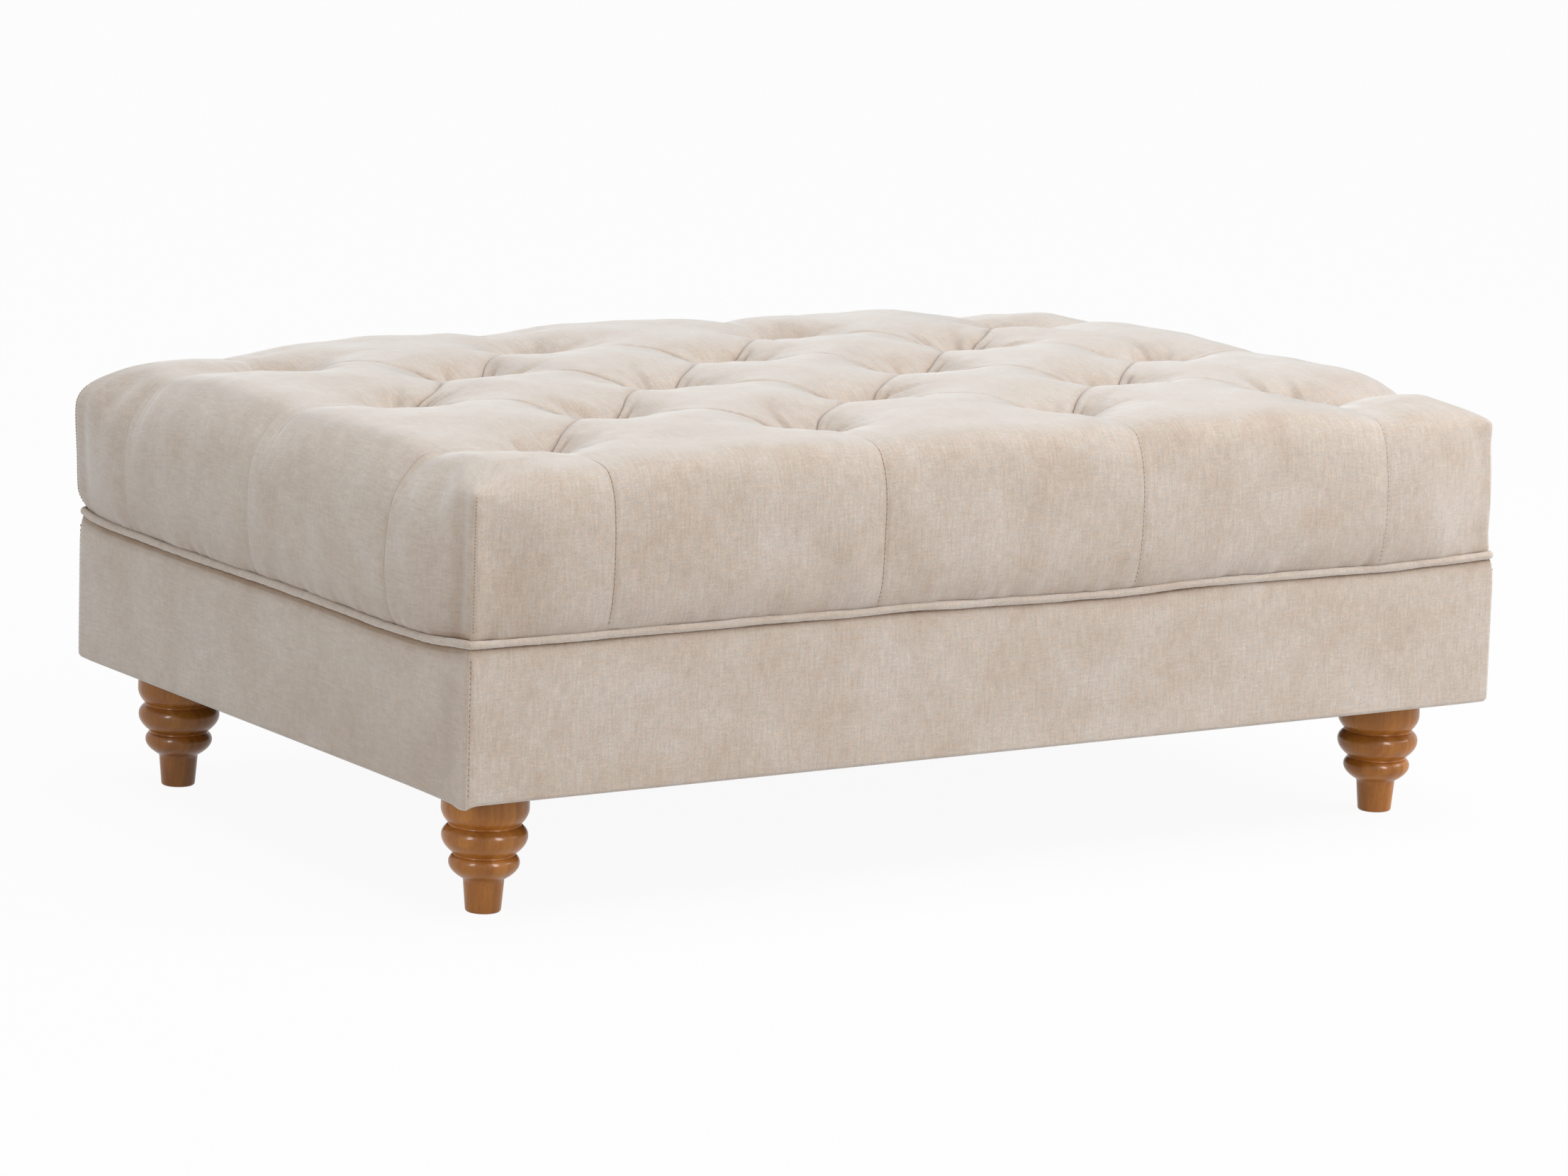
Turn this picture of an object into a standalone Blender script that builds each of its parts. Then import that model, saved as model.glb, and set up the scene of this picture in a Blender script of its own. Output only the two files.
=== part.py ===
"""Deep-buttoned upholstered bench on four turned feet.

Metres, +Z up. The origin is on the floor under the middle of the bench, X runs along the
long side and -Y is the front. An inset is a distance inwards from the base's outer face.
"""

import math

import bmesh
import bpy
from mathutils import Matrix, Vector

# Overall sizes
BENCH_WIDTH = 1.102
BENCH_DEPTH = 0.722
BASE_UNDERSIDE = 0.112
PIPING_HEIGHT = 0.251
CREST_HEIGHT = 0.410

# Gap left between pieces that touch
FIT_GAP = 0.0003

# Tufted seat
TUFT_COLUMNS = 4
TUFT_ROWS = 3
TUFT_DEPTH = 0.050
TUFT_HOLE_RADIUS = 0.004
FOLD_SHARE = 0.25
PLEAT_SHARE = 0.05
PLEAT_GROOVE = 0.0025
CROWN_EDGE_FALL = 0.008
CROWN_CORNER_FALL = 0.026
TOP_EDGE_INSET = 0.048
SHOULDER_INSET = 0.020
SHOULDER_DROP = 0.005
BROW_INSET = 0.0045
BROW_DROP = 0.022
BORDER_BULGE = 0.001
BORDER_BULGE_RISE = 0.062
BORDER_CORNER_EASE = 0.0008
CLOTH = 0.0015
WRAP_UNDER_TUFT = 0.008
WRAP_LIFT = 0.004

# Buttons and twine
BUTTON_RADIUS = 0.011
BUTTON_EDGE = 0.002
BUTTON_DOME = 0.005
BUTTON_SHANK_RADIUS = 0.0022
TWINE_RADIUS = 0.0008
TWINE_SPREAD = 0.0016

# Piping
PIPING_RADIUS = 0.0045
PIPING_PROUD = 0.0005
PIPING_FLANGE = 0.0012
PIPING_FLANGE_REST = 0.018
SEAM_WRAP_DEGREES = (12, 51, 90)

# Base cover and wadding
BASE_CORNER_RADIUS = 0.005
BASE_EDGE_RADIUS = 0.004
BASE_DRAW = 0.0008
BASE_DRAW_DROP = 0.006
BASE_FULL_DROP = 0.013
BASE_RETURN = 0.028
MITRE_GAP = 0.0002
LEAST_CORNER_RADIUS = 0.001
WADDING = 0.006

# Frame
RAIL_THICKNESS = 0.022
DECK_THICKNESS = 0.012
CROSS_RAIL_X = 0.185
CROSS_RAIL_DEPTH = 0.060
TWINE_NOTCH_WIDTH = 0.008
TWINE_NOTCH_DEPTH = 0.006
BLOCK_SIZE = 0.090
BLOCK_CHAMFER = 0.035
BLOCK_HEIGHT = 0.045
DUST_COVER = 0.001
DUST_COVER_INSET = 0.018

# Feet, bolts and nuts
FOOT_INSET_X = 0.067
FOOT_INSET_Y = 0.079
FOOT_SOLE_RADIUS = 0.0135
FOOT_TOE_RADIUS = 0.0157
FOOT_TOE_HEIGHT = 0.0025
ANKLE_RADIUS = 0.018
# Each bead from the lowest up: height, height of its belly above its start, belly radius, radius at its top
FOOT_BEADS = (
    (0.0222, 0.0144, 0.0309, 0.0267),
    (0.0263, 0.0160, 0.0375, 0.0314),
    (0.0327, 0.0141, 0.0383, 0.0360),
)
BOLT_RADIUS = 0.004
BOLT_IN_FOOT = 0.040
BOLT_ABOVE_NUT = 0.004
NUT_BARREL_WALL = 0.001
NUT_BARREL_LENGTH = 0.009
NUT_FLANGE_RADIUS = 0.011
NUT_FLANGE = 0.0015

# Facets on round pieces, and stations on curved ones
FOOT_FACETS = 18
BEAD_STEPS = (4, 3)
SMALL_FACETS = 10
HOLE_FACETS = 8
PIPING_FACETS = 10

# Heights that follow from the sizes above
DUST_COVER_TOP = BASE_UNDERSIDE - FIT_GAP
DUST_COVER_BOTTOM = DUST_COVER_TOP - DUST_COVER
FOOT_TOP = DUST_COVER_BOTTOM - FIT_GAP
RAIL_BOTTOM = BASE_UNDERSIDE + CLOTH + FIT_GAP
DECK_TOP = PIPING_HEIGHT - PIPING_FLANGE / 2 - FIT_GAP
DECK_BOTTOM = DECK_TOP - DECK_THICKNESS
RAIL_TOP = DECK_BOTTOM - FIT_GAP
FOAM_BOTTOM = PIPING_HEIGHT + PIPING_FLANGE / 2 + FIT_GAP
BLOCK_TOP = RAIL_BOTTOM + BLOCK_HEIGHT

# Insets that follow
PIPING_INSET = PIPING_RADIUS - PIPING_PROUD
SEAM_WRAP_STEP = math.radians(SEAM_WRAP_DEGREES[1] - SEAM_WRAP_DEGREES[0])
SEAM_RADIUS = (PIPING_RADIUS + FIT_GAP) / math.cos(SEAM_WRAP_STEP / 2)
FRAME_INSET = CLOTH + FIT_GAP + WADDING + FIT_GAP
DECK_INSET = PIPING_INSET + SEAM_RADIUS + CLOTH + 2 * FIT_GAP
FOAM_INSET = DECK_INSET + BORDER_CORNER_EASE

# Frame and tuft positions that follow
HALF_WIDTH = BENCH_WIDTH / 2
HALF_DEPTH = BENCH_DEPTH / 2
RAIL_X = HALF_WIDTH - FRAME_INSET
RAIL_Y = HALF_DEPTH - FRAME_INSET
INNER_X = RAIL_X - RAIL_THICKNESS
INNER_Y = RAIL_Y - RAIL_THICKNESS
FOOT_X = HALF_WIDTH - FOOT_INSET_X
FOOT_Y = HALF_DEPTH - FOOT_INSET_Y
TUFT_STEP_X = BENCH_WIDTH / TUFT_COLUMNS / 2
TUFT_STEP_Y = BENCH_DEPTH / TUFT_ROWS / 2
OUTER_TUFT_X = (TUFT_COLUMNS - 1) * TUFT_STEP_X
OUTER_TUFT_Y = (TUFT_ROWS - 1) * TUFT_STEP_Y
BOLT_HOLE_RADIUS = BOLT_RADIUS + NUT_BARREL_WALL + 2 * FIT_GAP


def clear_scene():
    for old in list(bpy.data.objects):
        bpy.data.objects.remove(old, do_unlink=True)


def make_material(name, colour, roughness, metallic=0.0):
    material = bpy.data.materials.new(name)
    material.use_nodes = True
    shader = material.node_tree.nodes["Principled BSDF"]
    shader.inputs["Base Color"].default_value = (*colour, 1.0)
    shader.inputs["Roughness"].default_value = roughness
    shader.inputs["Metallic"].default_value = metallic
    return material


def add_object(name, bm, material, location=(0, 0, 0), smooth_degrees=None):
    """Turn a bmesh into a linked object. Round pieces give the angle up to which they shade smooth."""
    bmesh.ops.recalc_face_normals(bm, faces=bm.faces[:])
    mesh = bpy.data.meshes.new(name)
    bm.to_mesh(mesh)
    bm.free()
    if smooth_degrees is not None:
        mesh.shade_smooth()
        mesh.set_sharp_from_angle(angle=math.radians(smooth_degrees))
    mesh.materials.append(material)
    made = bpy.data.objects.new(name, mesh)
    made.location = location
    bpy.context.scene.collection.objects.link(made)
    return made


def add_box(name, size, location, material):
    bm = bmesh.new()
    bmesh.ops.create_cube(bm, size=1.0, matrix=Matrix.Diagonal((*size, 1.0)))
    return add_object(name, bm, material, location)


def add_cutter(name, bm):
    cutter = add_object(name, bm, MATERIALS["frame"])
    cutter.hide_render = True
    cutter.display_type = "WIRE"
    return cutter


def cut(target, cutter):
    modifier = target.modifiers.new("Cut " + cutter.name, "BOOLEAN")
    modifier.operation = "DIFFERENCE"
    modifier.solver = "EXACT"
    modifier.object = cutter


def add_prism(bm, centre, radius, low, high, facets):
    """Add an upright closed prism to a bmesh."""
    middle = Matrix.Translation((*centre, (low + high) / 2))
    bmesh.ops.create_cone(
        bm,
        cap_ends=True,
        segments=facets,
        radius1=radius,
        radius2=radius,
        depth=high - low,
        matrix=middle,
    )


def add_turned(name, profile, location, material, facets, smooth_degrees):
    """Spin a closed profile of (radius, height) points round an upright axis at location."""
    bm = bmesh.new()
    points = [bm.verts.new((radius, 0, height)) for radius, height in profile]
    pairs = list(zip(points, points[1:]))
    if profile[0][0] > 0:
        pairs.append((points[-1], points[0]))
    edges = [bm.edges.new(pair) for pair in pairs]
    bmesh.ops.spin(
        bm,
        geom=points + edges,
        axis=(0, 0, 1),
        cent=(0, 0, 0),
        steps=facets,
        angle=2 * math.pi,
        use_merge=True,
    )
    bmesh.ops.remove_doubles(bm, verts=bm.verts[:], dist=1e-6)
    return add_object(name, bm, material, location, smooth_degrees)


# Sides of the base: each piece is swept along the front and turned to its side

SIDES = (
    ("front", BENCH_WIDTH, HALF_DEPTH, 0),
    ("right", BENCH_DEPTH, HALF_WIDTH, 90),
    ("back", BENCH_WIDTH, HALF_DEPTH, 180),
    ("left", BENCH_DEPTH, HALF_WIDTH, 270),
)
CORNER_DEGREES = (45, 22.5, 0)


def side_stations(inset, length, distance):
    """Points along one side at an inset, from the mitre at one corner to the mitre at the other."""
    radius = max(BASE_CORNER_RADIUS - inset, LEAST_CORNER_RADIUS)
    left = []
    for degrees in CORNER_DEGREES:
        angle = math.radians(degrees)
        x = -(length / 2 - inset - radius) - radius * math.sin(angle)
        y = -(distance - inset - radius) - radius * math.cos(angle)
        left.append((x, y))
    left[0] = (left[0][0] + MITRE_GAP, left[0][1])
    return left + [(-x, y) for x, y in reversed(left)]


def add_side_sweep(name, section, side, material, smooth_degrees):
    """Sweep a closed section of (inset, height) points along one side between its mitres."""
    _, length, distance, turn = side
    bm = bmesh.new()
    rows = []
    for inset, height in section:
        stations = side_stations(inset, length, distance)
        rows.append([bm.verts.new((x, y, height)) for x, y in stations])
    for row, following in zip(rows, rows[1:] + rows[:1]):
        for k in range(len(row) - 1):
            bm.faces.new((row[k], row[k + 1], following[k + 1], following[k]))
    for end in (0, -1):
        bm.faces.new([row[end] for row in rows])
    made = add_object(name, bm, material, smooth_degrees=smooth_degrees)
    made.rotation_euler = (0, 0, math.radians(turn))
    return made


def thicken(line, thickness):
    """Close a line of (inset, height) points into a strip, its second face the thickness to the left."""
    points = [Vector(point) for point in line]
    normals = []
    for start, end in zip(points, points[1:]):
        run = (end - start).normalized()
        normals.append(Vector((-run.y, run.x)))
    inner = []
    for k, point in enumerate(points):
        before = normals[max(k - 1, 0)]
        after = normals[min(k, len(normals) - 1)]
        middle = (before + after).normalized()
        inner.append(point + middle * thickness / middle.dot(after))
    return [tuple(p) for p in points] + [tuple(p) for p in reversed(inner)]


def seam_point(degrees, radius):
    """A point of a line that wraps the piping, by its angle above the inward direction."""
    angle = math.radians(degrees)
    return (
        PIPING_INSET + radius * math.cos(angle),
        PIPING_HEIGHT + radius * math.sin(angle),
    )


def base_panel_section():
    line = [seam_point(-degrees, SEAM_RADIUS) for degrees in SEAM_WRAP_DEGREES]
    line.append((BASE_DRAW, PIPING_HEIGHT - SEAM_RADIUS - BASE_DRAW_DROP))
    line.append((0, PIPING_HEIGHT - SEAM_RADIUS - BASE_FULL_DROP))
    for degrees in (0, 45, 90):
        angle = math.radians(degrees)
        inset = BASE_EDGE_RADIUS * (1 - math.cos(angle))
        height = BASE_UNDERSIDE + BASE_EDGE_RADIUS * (1 - math.sin(angle))
        line.append((inset, height))
    line.append((BASE_RETURN, BASE_UNDERSIDE))
    return thicken(line, CLOTH)


def piping_section():
    """A cord with the sewing flange that lies on the deck."""
    half = PIPING_FLANGE / 2
    opening = math.degrees(math.asin(half / PIPING_RADIUS))
    span = 360 - 2 * opening
    section = []
    for k in range(PIPING_FACETS + 1):
        section.append(seam_point(opening + span * k / PIPING_FACETS, PIPING_RADIUS))
    flange_end = DECK_INSET + PIPING_FLANGE_REST
    section.append((flange_end, PIPING_HEIGHT - half))
    section.append((flange_end, PIPING_HEIGHT + half))
    return section


def build_base_cover():
    for side in SIDES:
        add_side_sweep("base_panel_" + side[0], base_panel_section(), side, MATERIALS["cloth"], 40)
        add_side_sweep("piping_" + side[0], piping_section(), side, MATERIALS["piping"], 60)


def rounded_loop(inset):
    """Corner points of the base's outline at an inset, all the way round."""
    radius = max(BASE_CORNER_RADIUS - inset, LEAST_CORNER_RADIUS)
    points = []
    for start, sign_x, sign_y in ((180, -1, -1), (270, 1, -1), (0, 1, 1), (90, -1, 1)):
        for step in (0, 45, 90):
            angle = math.radians(start + step)
            x = sign_x * (HALF_WIDTH - inset - radius) + radius * math.cos(angle)
            y = sign_y * (HALF_DEPTH - inset - radius) + radius * math.sin(angle)
            points.append((x, y))
    return points


def build_wadding_band():
    outer = CLOTH + FIT_GAP
    inner = outer + WADDING
    low = BASE_UNDERSIDE + BASE_EDGE_RADIUS
    high = PIPING_HEIGHT - SEAM_RADIUS - BASE_FULL_DROP - CLOTH
    bm = bmesh.new()
    rows = []
    for inset, height in ((outer, low), (outer, high), (inner, high), (inner, low)):
        rows.append([bm.verts.new((x, y, height)) for x, y in rounded_loop(inset)])
    for row, following in zip(rows, rows[1:] + rows[:1]):
        for k in range(len(row)):
            n = (k + 1) % len(row)
            bm.faces.new((row[k], row[n], following[n], following[k]))
    add_object("wadding_band", bm, MATERIALS["wadding"])


# Tufted seat

def is_tuft(column, row):
    """Whether a half-step of the tuft lattice, counted from the outermost tuft, holds a tuft."""
    inside = 0 <= column <= 2 * (TUFT_COLUMNS - 1) and 0 <= row <= 2 * (TUFT_ROWS - 1)
    return inside and column % 2 == row % 2


def tuft_positions():
    """Tuft (x, y) positions by row."""
    rows = []
    for row in range(2 * TUFT_ROWS - 1):
        y = row * TUFT_STEP_Y - OUTER_TUFT_Y
        columns = [c for c in range(2 * TUFT_COLUMNS - 1) if is_tuft(c, row)]
        rows.append([(c * TUFT_STEP_X - OUTER_TUFT_X, y) for c in columns])
    return rows


def fade(share):
    """How much of a tuft's depth is left along a pleat, from its tuft to the edge of the seat."""
    return PLEAT_SHARE + (1 - PLEAT_SHARE) * (1 - min(share, 1)) ** 3


def tuft_relief(x, y):
    """0 in a tuft, 1 on the crest of a diamond or of a border panel."""
    past_x = max(abs(x) - OUTER_TUFT_X, 0) / TUFT_STEP_X
    past_y = max(abs(y) - OUTER_TUFT_Y, 0) / TUFT_STEP_Y
    along = max(-OUTER_TUFT_X, min(OUTER_TUFT_X, x)) / TUFT_STEP_X + TUFT_COLUMNS - 1
    across = max(-OUTER_TUFT_Y, min(OUTER_TUFT_Y, y)) / TUFT_STEP_Y + TUFT_ROWS - 1
    rising = abs(math.sin(math.pi * (along + across) / 2))
    falling = abs(math.sin(math.pi * (along - across) / 2))
    pillow = 1 - (1 - rising) * (1 - falling)
    fold = FOLD_SHARE * (rising * (1 - falling) + falling * (1 - rising))
    return 1 - (1 - pillow + fold) * fade(past_x) * fade(past_y)


def seat_height(x, y):
    """Height of the cover's outside over a point of its top."""
    out_x = abs(x) / HALF_WIDTH
    out_y = abs(y) / HALF_DEPTH
    crest = CREST_HEIGHT - CROWN_EDGE_FALL * max(out_x, out_y) ** 4
    crest -= CROWN_CORNER_FALL * (out_x * out_y) ** 4
    return crest - TUFT_DEPTH * (1 - tuft_relief(x, y))


def grid_lines(outer_tuft, step, edge):
    """Grid lines on the seat's top: half a tuft step apart, then one at each edge."""
    count = round(4 * outer_tuft / step)
    lines = [k * step / 2 - outer_tuft for k in range(count + 1)]
    return [-edge] + lines + [edge]


GRID_X = grid_lines(OUTER_TUFT_X, TUFT_STEP_X, HALF_WIDTH - TOP_EDGE_INSET)
GRID_Y = grid_lines(OUTER_TUFT_Y, TUFT_STEP_Y, HALF_DEPTH - TOP_EDGE_INSET)


def grid_is_tuft(i, j):
    """Whether a grid point of the seat's top is a tuft."""
    on_lattice = i % 2 == 1 and j % 2 == 1
    return on_lattice and is_tuft((i - 1) // 2, (j - 1) // 2)


def rim_keys():
    """Grid points round the edge of the seat's top, anticlockwise from the front left corner."""
    last_i = len(GRID_X) - 1
    last_j = len(GRID_Y) - 1
    keys = [(i, 0) for i in range(last_i)]
    keys += [(last_i, j) for j in range(last_j)]
    keys += [(i, last_j) for i in range(last_i, 0, -1)]
    keys += [(0, j) for j in range(last_j, 0, -1)]
    return keys


RIM = rim_keys()


def rises_right(i, j):
    """Whether a grid cell splits from its near left to its far right.

    Each split runs through the cell's even corner, the middle of a fold, so that folds are edges.
    """
    return i % 2 == j % 2


NEIGHBOURS = ((1, 0), (1, 1), (0, 1), (-1, 1), (-1, 0), (-1, -1), (0, -1), (1, -1))


def skin_faces(ring_count):
    """Faces of the cushion's skin as point keys, with a hole at each tuft, facing out."""
    faces = []
    for i in range(len(GRID_X) - 1):
        for j in range(len(GRID_Y) - 1):
            near_left, near_right = (i, j), (i + 1, j)
            far_left, far_right = (i, j + 1), (i + 1, j + 1)
            if rises_right(i, j):
                halves = (near_left, near_right, far_right), (near_left, far_right, far_left)
            else:
                halves = (near_left, near_right, far_left), (near_right, far_right, far_left)
            for half in halves:
                tufts = [key for key in half if grid_is_tuft(*key)]
                faces.append(open_at_tuft(half, tufts[0]) if tufts else half)
    for ring in range(ring_count):
        for k in range(len(RIM)):
            n = (k + 1) % len(RIM)
            upper = [RIM[k], RIM[n]] if ring == 0 else [("ring", ring, k), ("ring", ring, n)]
            lower = [("ring", ring + 1, n), ("ring", ring + 1, k)]
            faces.append((upper[1], upper[0], lower[1], lower[0]))
    return faces


def open_at_tuft(half, tuft):
    """Replace the tuft corner of a triangle by the two points where its sides leave the hole."""
    at = half.index(tuft)
    first, second = half[(at + 1) % 3], half[(at + 2) % 3]
    return (first, second, ("hole", tuft, second), ("hole", tuft, first))


def rim_point(k, inset, height):
    """A point of a ring round the cushion, drawn in at the corners and at the pleats."""
    i, j = RIM[k]
    last_i, last_j = len(GRID_X) - 1, len(GRID_Y) - 1
    if i in (0, last_i) and j in (0, last_j):
        inset += BORDER_CORNER_EASE
    elif grid_is_tuft(min(max(i, 1), last_i - 1), min(max(j, 1), last_j - 1)):
        inset += PLEAT_GROOVE * pleat_share(height)
    return wall_point(k, inset, height)


def wall_point(k, inset, height):
    """A point of a plain upright wall under one grid point of the top's edge."""
    i, j = RIM[k]
    x, y = GRID_X[i], GRID_Y[j]
    if i in (0, len(GRID_X) - 1):
        x = math.copysign(HALF_WIDTH - inset, x)
    if j in (0, len(GRID_Y) - 1):
        y = math.copysign(HALF_DEPTH - inset, y)
    return Vector((x, y, height))


def pleat_share(height):
    """A pleat's groove is full at the border's middle and runs out at the piping."""
    return min(max((height - PIPING_HEIGHT - SEAM_RADIUS) / BORDER_BULGE_RISE, 0), 1)


def skin_points(top, rings, station):
    """Points of a cushion skin, by key.

    top gives the height over a point of the top. Each of the rings gives an inset and a height
    from the height of the top's edge, and station places them under a grid point of that edge.
    """
    points = {}
    for i, x in enumerate(GRID_X):
        for j, y in enumerate(GRID_Y):
            points[i, j] = Vector((x, y, top(x, y)))
    for k, (i, j) in enumerate(RIM):
        edge_height = points[i, j].z
        for ring, place in enumerate(rings, start=1):
            points["ring", ring, k] = station(k, *place(edge_height))
    add_hole_points(points)
    return points


def add_hole_points(points):
    """Add the points where each line from a tuft leaves its hole."""
    for i in range(len(GRID_X)):
        for j in range(len(GRID_Y)):
            if not grid_is_tuft(i, j):
                continue
            for right, far in NEIGHBOURS:
                other = (i + right, j + far)
                run = points[other] - points[i, j]
                share = TUFT_HOLE_RADIUS / run.to_2d().length
                points["hole", (i, j), other] = points[i, j] + run * share


def add_skin_pair(name, faces, outside, inside, material):
    """Close two skins of the same faces into one shell by walls along their open edges."""
    bm = bmesh.new()
    keys = {key for face in faces for key in face}
    outer = {key: bm.verts.new(outside[key]) for key in sorted(keys, key=repr)}
    inner = {key: bm.verts.new(inside[key]) for key in sorted(keys, key=repr)}
    runs = set()
    for face in faces:
        bm.faces.new([outer[key] for key in face])
        bm.faces.new([inner[key] for key in reversed(face)])
        runs.update(zip(face, face[1:] + face[:1]))
    for start, end in sorted(runs, key=repr):
        if (end, start) not in runs:
            bm.faces.new((outer[end], outer[start], inner[start], inner[end]))
    return add_object(name, bm, material, smooth_degrees=35)


def top_rings(depth):
    """The shoulder, brow and bulge of the border, a depth inside the cover's outside."""
    return [
        lambda edge: (SHOULDER_INSET + depth / 2, edge - SHOULDER_DROP),
        lambda edge: (BROW_INSET + depth, edge + depth / 2 - BROW_DROP),
        lambda edge: (depth - BORDER_BULGE, PIPING_HEIGHT + BORDER_BULGE_RISE),
    ]


def seam_rings(depth):
    """The turn of the cover round the top of the piping."""
    turns = [seam_point(degrees, SEAM_RADIUS + depth) for degrees in reversed(SEAM_WRAP_DEGREES)]
    return [lambda edge, turn=turn: turn for turn in turns]


def foam_top():
    lowest = min(seat_height(x, y) for row in tuft_positions() for x, y in row)
    return lowest - CLOTH - WRAP_UNDER_TUFT


def cover_points(depth, rings):
    """Points of a skin that lies a depth inside the cover's outside."""
    return skin_points(lambda x, y: seat_height(x, y) - depth, rings, rim_point)


def build_cover():
    outside = cover_points(0, top_rings(0) + seam_rings(0))
    inside = cover_points(CLOTH, top_rings(CLOTH) + seam_rings(CLOTH))
    add_skin_pair("seat_cover", skin_faces(6), outside, inside, MATERIALS["cloth"])


def build_wrap():
    """Fibre over the foam's top and sides, filling the cover."""
    depth = 2 * CLOTH + FIT_GAP
    bottom = PIPING_HEIGHT + SEAM_RADIUS + CLOTH + WRAP_LIFT
    hem = (PIPING_INSET + CLOTH + 2 * FIT_GAP, bottom)
    outside = cover_points(depth, top_rings(depth) + [lambda edge: hem])
    inset = FOAM_INSET - FIT_GAP
    top = foam_top() + FIT_GAP
    walls = [lambda edge, share=k / 3: (inset, top + (bottom - top) * share) for k in range(4)]
    inside = skin_points(lambda x, y: top, walls, wall_point)
    add_skin_pair("fibre_wrap", skin_faces(4), outside, inside, MATERIALS["wadding"])


def add_slab(name, inset, low, high, material):
    size = (BENCH_WIDTH - 2 * inset, BENCH_DEPTH - 2 * inset, high - low)
    return add_box(name, size, (0, 0, (low + high) / 2), material)


def build_foam_and_deck():
    foam = add_slab("foam_block", FOAM_INSET, FOAM_BOTTOM, foam_top(), MATERIALS["foam"])
    deck = add_slab("deck_board", DECK_INSET, DECK_BOTTOM, DECK_TOP, MATERIALS["ply"])
    bm = bmesh.new()
    for row in tuft_positions():
        for place in row:
            add_prism(bm, place, TUFT_HOLE_RADIUS, RAIL_BOTTOM, CREST_HEIGHT, HOLE_FACETS)
    drill = add_cutter("tuft_drill", bm)
    cut(foam, drill)
    cut(deck, drill)


# Buttons and twine

def steepest_rise(x, y):
    """Steepest slope of the cover's facets that leave a tuft."""
    i = min(range(len(GRID_X)), key=lambda n: abs(GRID_X[n] - x))
    j = min(range(len(GRID_Y)), key=lambda n: abs(GRID_Y[n] - y))
    rises = []
    for right, far in NEIGHBOURS:
        near_x, near_y = GRID_X[i + right], GRID_Y[j + far]
        rise = seat_height(near_x, near_y) - seat_height(x, y)
        rises.append(rise / math.hypot(near_x - x, near_y - y))
    return max(rises)


def shank_foot(x, y):
    """Height at which a button's shank ends, just inside the mouth of its hole."""
    return seat_height(x, y) + TWINE_RADIUS


def build_buttons():
    for row, places in enumerate(tuft_positions(), start=1):
        for column, (x, y) in enumerate(places, start=1):
            foot = shank_foot(x, y)
            seat = seat_height(x, y) + steepest_rise(x, y) * BUTTON_RADIUS + FIT_GAP - foot
            profile = [(0, 0), (BUTTON_SHANK_RADIUS, 0), (BUTTON_SHANK_RADIUS, seat), (BUTTON_RADIUS, seat)]
            for degrees in (0, 35, 65, 90):
                angle = math.radians(degrees)
                height = seat + BUTTON_EDGE + BUTTON_DOME * math.sin(angle)
                profile.append((BUTTON_RADIUS * math.cos(angle) if degrees < 90 else 0, height))
            name = f"tuft_button_{row}_{column}"
            add_turned(name, profile, (x, y, foot), MATERIALS["cloth"], SMALL_FACETS, 50)


def build_twine():
    """One length a row, up through each hole, under the button's shank and down again."""
    low = DECK_BOTTOM - FIT_GAP - TWINE_RADIUS
    for row, places in enumerate(tuft_positions(), start=1):
        path = []
        for x, y in places:
            high = shank_foot(x, y) - FIT_GAP - TWINE_RADIUS
            path.append((x - TWINE_SPREAD, y, low))
            path.append((x - TWINE_SPREAD, y, high))
            path.append((x + TWINE_SPREAD, y, high))
            path.append((x + TWINE_SPREAD, y, low))
        curve = bpy.data.curves.new(f"tuft_twine_{row}", "CURVE")
        curve.dimensions = "3D"
        curve.bevel_depth = TWINE_RADIUS
        curve.bevel_resolution = 0
        curve.use_fill_caps = True
        spline = curve.splines.new("POLY")
        spline.points.add(len(path) - 1)
        for point, place in zip(spline.points, path):
            point.co = (*place, 1)
        curve.materials.append(MATERIALS["twine"])
        made = bpy.data.objects.new(curve.name, curve)
        bpy.context.scene.collection.objects.link(made)


# Frame

def build_rails():
    height = RAIL_TOP - RAIL_BOTTOM
    middle = (RAIL_TOP + RAIL_BOTTOM) / 2
    long_y = RAIL_Y - RAIL_THICKNESS / 2
    short_x = RAIL_X - RAIL_THICKNESS / 2
    short_length = 2 * (INNER_Y - FIT_GAP)
    for name, sign in (("front", -1), ("back", 1)):
        size = (2 * RAIL_X, RAIL_THICKNESS, height)
        add_box("rail_" + name, size, (0, sign * long_y, middle), MATERIALS["frame"])
    for name, sign in (("left", -1), ("right", 1)):
        size = (RAIL_THICKNESS, short_length, height)
        add_box("rail_" + name, size, (sign * short_x, 0, middle), MATERIALS["frame"])


def build_cross_rails():
    bm = bmesh.new()
    for row in tuft_positions():
        size = (2 * INNER_X, TWINE_NOTCH_WIDTH, 2 * TWINE_NOTCH_DEPTH, 1.0)
        place = Matrix.Translation((0, row[0][1], RAIL_TOP))
        bmesh.ops.create_cube(bm, size=1.0, matrix=place @ Matrix.Diagonal(size))
    notches = add_cutter("twine_notches", bm)
    size = (RAIL_THICKNESS, 2 * (INNER_Y - FIT_GAP), CROSS_RAIL_DEPTH)
    for name, sign in (("left", -1), ("right", 1)):
        place = (sign * CROSS_RAIL_X, 0, RAIL_TOP - CROSS_RAIL_DEPTH / 2)
        cut(add_box("cross_rail_" + name, size, place, MATERIALS["frame"]), notches)


CORNERS = (
    ("front_left", -1, -1),
    ("front_right", 1, -1),
    ("back_right", 1, 1),
    ("back_left", -1, 1),
)


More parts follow.
